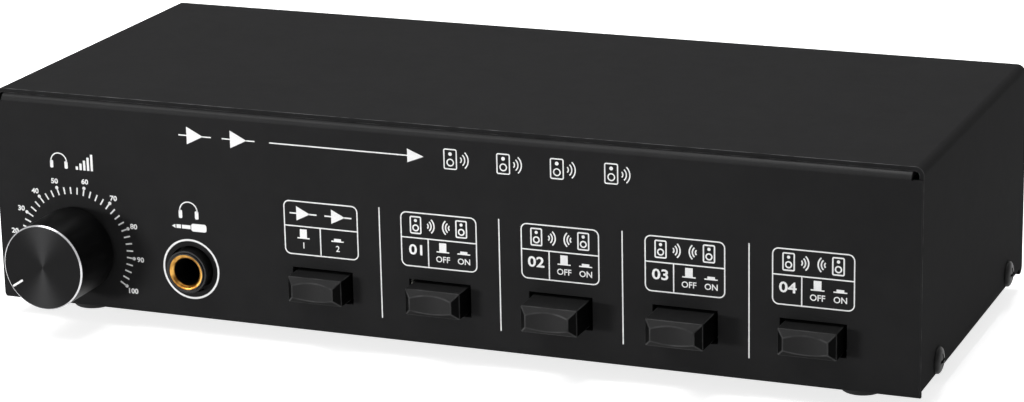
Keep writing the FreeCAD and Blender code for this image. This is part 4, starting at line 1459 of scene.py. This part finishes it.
class SELECTOR_OT_labels(bpy.types.Operator):
    """Print the frames, dividers and switch marks over the buttons"""

    bl_idname = "selector.labels"
    bl_label = "Button labels"

    def execute(self, context):
        sizes = context.scene.selector_print
        line, fine = sizes.line / MM, sizes.fine_line / MM
        width, height = sizes.frame_width / MM, sizes.frame_height / MM
        ink = Ink(FRONT_Y, sizes.ink_thickness)
        places = [seen_from_front(node) for node in BUTTONS]
        for index, (across, up) in enumerate(places):
            frame_middle = up + FRAME_UP
            rule = up + RULE_UP
            bottom = frame_middle - height / 2
            ink.rounded_frame((across, frame_middle), width, height, sizes.frame_radius / MM, line)
            ink.bar((across - width / 2 + line, rule), (across + width / 2 - line, rule), line)
            cell = (rule + frame_middle + height / 2) / 2
            amplifier = index == 0
            upright = across + (UPRIGHT_FIRST if amplifier else UPRIGHT_OTHERS)
            ink.bar((upright, bottom + line), (upright, rule - line / 2), line)
            if amplifier:
                for side in (-1, 1):
                    place = (across + side * AMPLIFIER_ASIDE, cell)
                    draw_amplifier(ink, place, AMPLIFIER_HEIGHT, fine)
            else:
                for side in (-1, 1):
                    cabinet = (across + side * SPEAKER_ASIDE, cell)
                    cone = (across + side * SOUND_ASIDE, cell)
                    draw_loudspeaker(ink, cabinet, SPEAKER_HEIGHT, fine)
                    draw_sound(ink, cone, SPEAKER_HEIGHT, fine, -side)
                place = (across + CHANNEL_ASIDE, up + CHANNEL_UP)
                ink.text(f"0{index}", place, CHANNEL_HEIGHT, 1.2, 0.02)
            for offset, reach, word in INPUT_MARKS if amplifier else OUTPUT_MARKS:
                draw_mark(ink, across + offset, up + MARK_UP, reach, line)
                ink.text(word, (across + offset, up + WORD_UP), WORD_HEIGHT)
        for (left, up), (right, _) in zip(places, places[1:]):
            across = (left + right) / 2 + DIVIDER_ASIDE
            low, high = (up + reach for reach in DIVIDER_SPAN)
            ink.bar((across, low), (across, high), line)
        ink.finish("label_print", use(context, "panel_ink"))
        return {"FINISHED"}


class SELECTOR_OT_title(bpy.types.Operator):
    """Print the row of symbols at the top of the panel and the two captions"""

    bl_idname = "selector.title"
    bl_label = "Title and captions"

    def execute(self, context):
        sizes = context.scene.selector_print
        line = sizes.line / MM
        ink = Ink(FRONT_Y, sizes.ink_thickness)
        up = TITLE_UP
        for across in TITLE_AMPLIFIERS:
            draw_amplifier(ink, (across, up), TITLE_HEIGHT, line)
        ink.bar((ARROW_START, up), (ARROW_ROOT, up), line)
        ink.slab([(ARROW_ROOT, up - ARROW_HALF), (ARROW_ROOT, up + ARROW_HALF), (ARROW_TIP, up)])
        for across in TITLE_SPEAKERS:
            draw_loudspeaker(ink, (across, up), TITLE_SPEAKER_HEIGHT, line)
            draw_sound(ink, (across + TITLE_SOUND_ASIDE, up), TITLE_SPEAKER_HEIGHT, line, 1)
        hub, _ = seen_from_front("knob")
        ears = (hub + KNOB_HEADPHONES_ASIDE, KNOB_CAPTION_UP)
        draw_headphones(ink, ears, KNOB_HEADPHONES_WIDTH, line)
        draw_volume(ink, (hub + BARS_ASIDE, KNOB_CAPTION_UP - BARS_DOWN), BARS_WIDTH)
        socket, _ = seen_from_front("jack_sleeve")
        ears = (socket, SOCKET_CAPTION_UP + SOCKET_HEADPHONES_LIFT)
        draw_headphones(ink, ears, SOCKET_HEADPHONES_WIDTH, line)
        draw_plug(ink, (socket, SOCKET_CAPTION_UP - PLUG_DOWN), PLUG_LENGTH)
        ink.finish("title_print", use(context, "panel_ink"))
        return {"FINISHED"}


class SELECTOR_OT_back_print(bpy.types.Operator):
    """Print signs and plain channel numbers on the terminal blocks"""

    bl_idname = "selector.back_print"
    bl_label = "Back print"

    def execute(self, context):
        sizes = context.scene.selector_print
        fine = sizes.fine_line / MM
        for letter, channels in BLOCK_CHANNELS.items():
            low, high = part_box(f"terminal_block_{letter}")
            ink = Ink(high.y, sizes.ink_thickness, outward=1.0)
            across = (low.x + high.x) / 2 / MM
            draw = draw_amplifier if letter == AMPLIFIER_BLOCK else draw_loudspeaker
            for row, channel in enumerate(channels):
                first = row * LEVERS_PER_ROW + 1
                levers = [f"lever_{letter}{first + place}" for place in range(LEVERS_PER_ROW)]
                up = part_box(levers[0])[1].z / MM + SIGN_UP
                for index, lever in enumerate(levers):
                    place = middle(lever).x / MM
                    ink.bar((place - SIGN_HALF, up), (place + SIGN_HALF, up), fine)
                    if index % 2 == 0:
                        ink.bar((place, up - SIGN_HALF), (place, up + SIGN_HALF), fine)
                draw(ink, (across + BACK_SYMBOL_ASIDE, up), BACK_SYMBOL_HEIGHT, fine)
                number_place = (across + BACK_NUMBER_ASIDE, up)
                ink.text(str(channel), number_place, BACK_NUMBER_HEIGHT)
            ink.finish(f"terminal_print_{letter}", use(context, "panel_ink"))
        return {"FINISHED"}


class SELECTOR_OT_stage(bpy.types.Operator):
    """Set up the camera, the soft boxes, the floor and the white round them"""

    bl_idname = "selector.stage"
    bl_label = "Stage"

    def execute(self, context):
        studio = context.scene.selector_studio
        context.scene.view_settings.view_transform = "Standard"
        add_camera(studio)
        add_floor(studio)
        add_world(studio)
        top = (0.0, 0.0, CASE_HIGH.z)
        add_soft_box("overhead", OVERHEAD_PLACE, top, OVERHEAD_SIDES, studio.overhead_power)
        add_soft_box("front_top", FRONT_PLACE, top, FRONT_SIDES, studio.front_power)
        add_soft_box("left", LEFT_PLACE, middle("knob"), LEFT_SIDES, studio.left_power)
        return {"FINISHED"}


SETTINGS = {
    "selector_finish": SELECTOR_PG_finish,
    "selector_pieces": SELECTOR_PG_pieces,
    "selector_print": SELECTOR_PG_print,
    "selector_studio": SELECTOR_PG_studio,
}
OPERATORS = (
    SELECTOR_OT_stage,
    SELECTOR_OT_case,
    SELECTOR_OT_knob,
    SELECTOR_OT_socket,
    SELECTOR_OT_buttons,
    SELECTOR_OT_screws,
    SELECTOR_OT_feet,
    SELECTOR_OT_terminals,
    SELECTOR_OT_inside,
    SELECTOR_OT_dial,
    SELECTOR_OT_labels,
    SELECTOR_OT_title,
    SELECTOR_OT_back_print,
)


class SELECTOR_PT_panel(bpy.types.Panel):
    """Lists the steps and their settings"""

    bl_idname = "SELECTOR_PT_panel"
    bl_label = "Speaker selector"
    bl_space_type = "VIEW_3D"
    bl_region_type = "UI"
    bl_category = "Selector"

    def draw(self, context):
        scene = context.scene
        for operator in OPERATORS:
            self.layout.operator(operator.bl_idname)
        for settings_name in SETTINGS:
            settings = getattr(scene, settings_name)
            for name in settings.__annotations__:
                self.layout.prop(settings, name)


CLASSES = (*SETTINGS.values(), *OPERATORS, SELECTOR_PT_panel)


def register():
    for item in CLASSES:
        bpy.utils.register_class(item)
    for name, group in SETTINGS.items():
        setattr(bpy.types.Scene, name, PointerProperty(type=group))


def unregister():
    for name in SETTINGS:
        delattr(bpy.types.Scene, name)
    for item in reversed(CLASSES):
        bpy.utils.unregister_class(item)


def main():
    register()
    for operator in OPERATORS:
        group, name = operator.bl_idname.split(".")
        getattr(getattr(bpy.ops, group), name)()


if __name__ == "__main__":
    main()
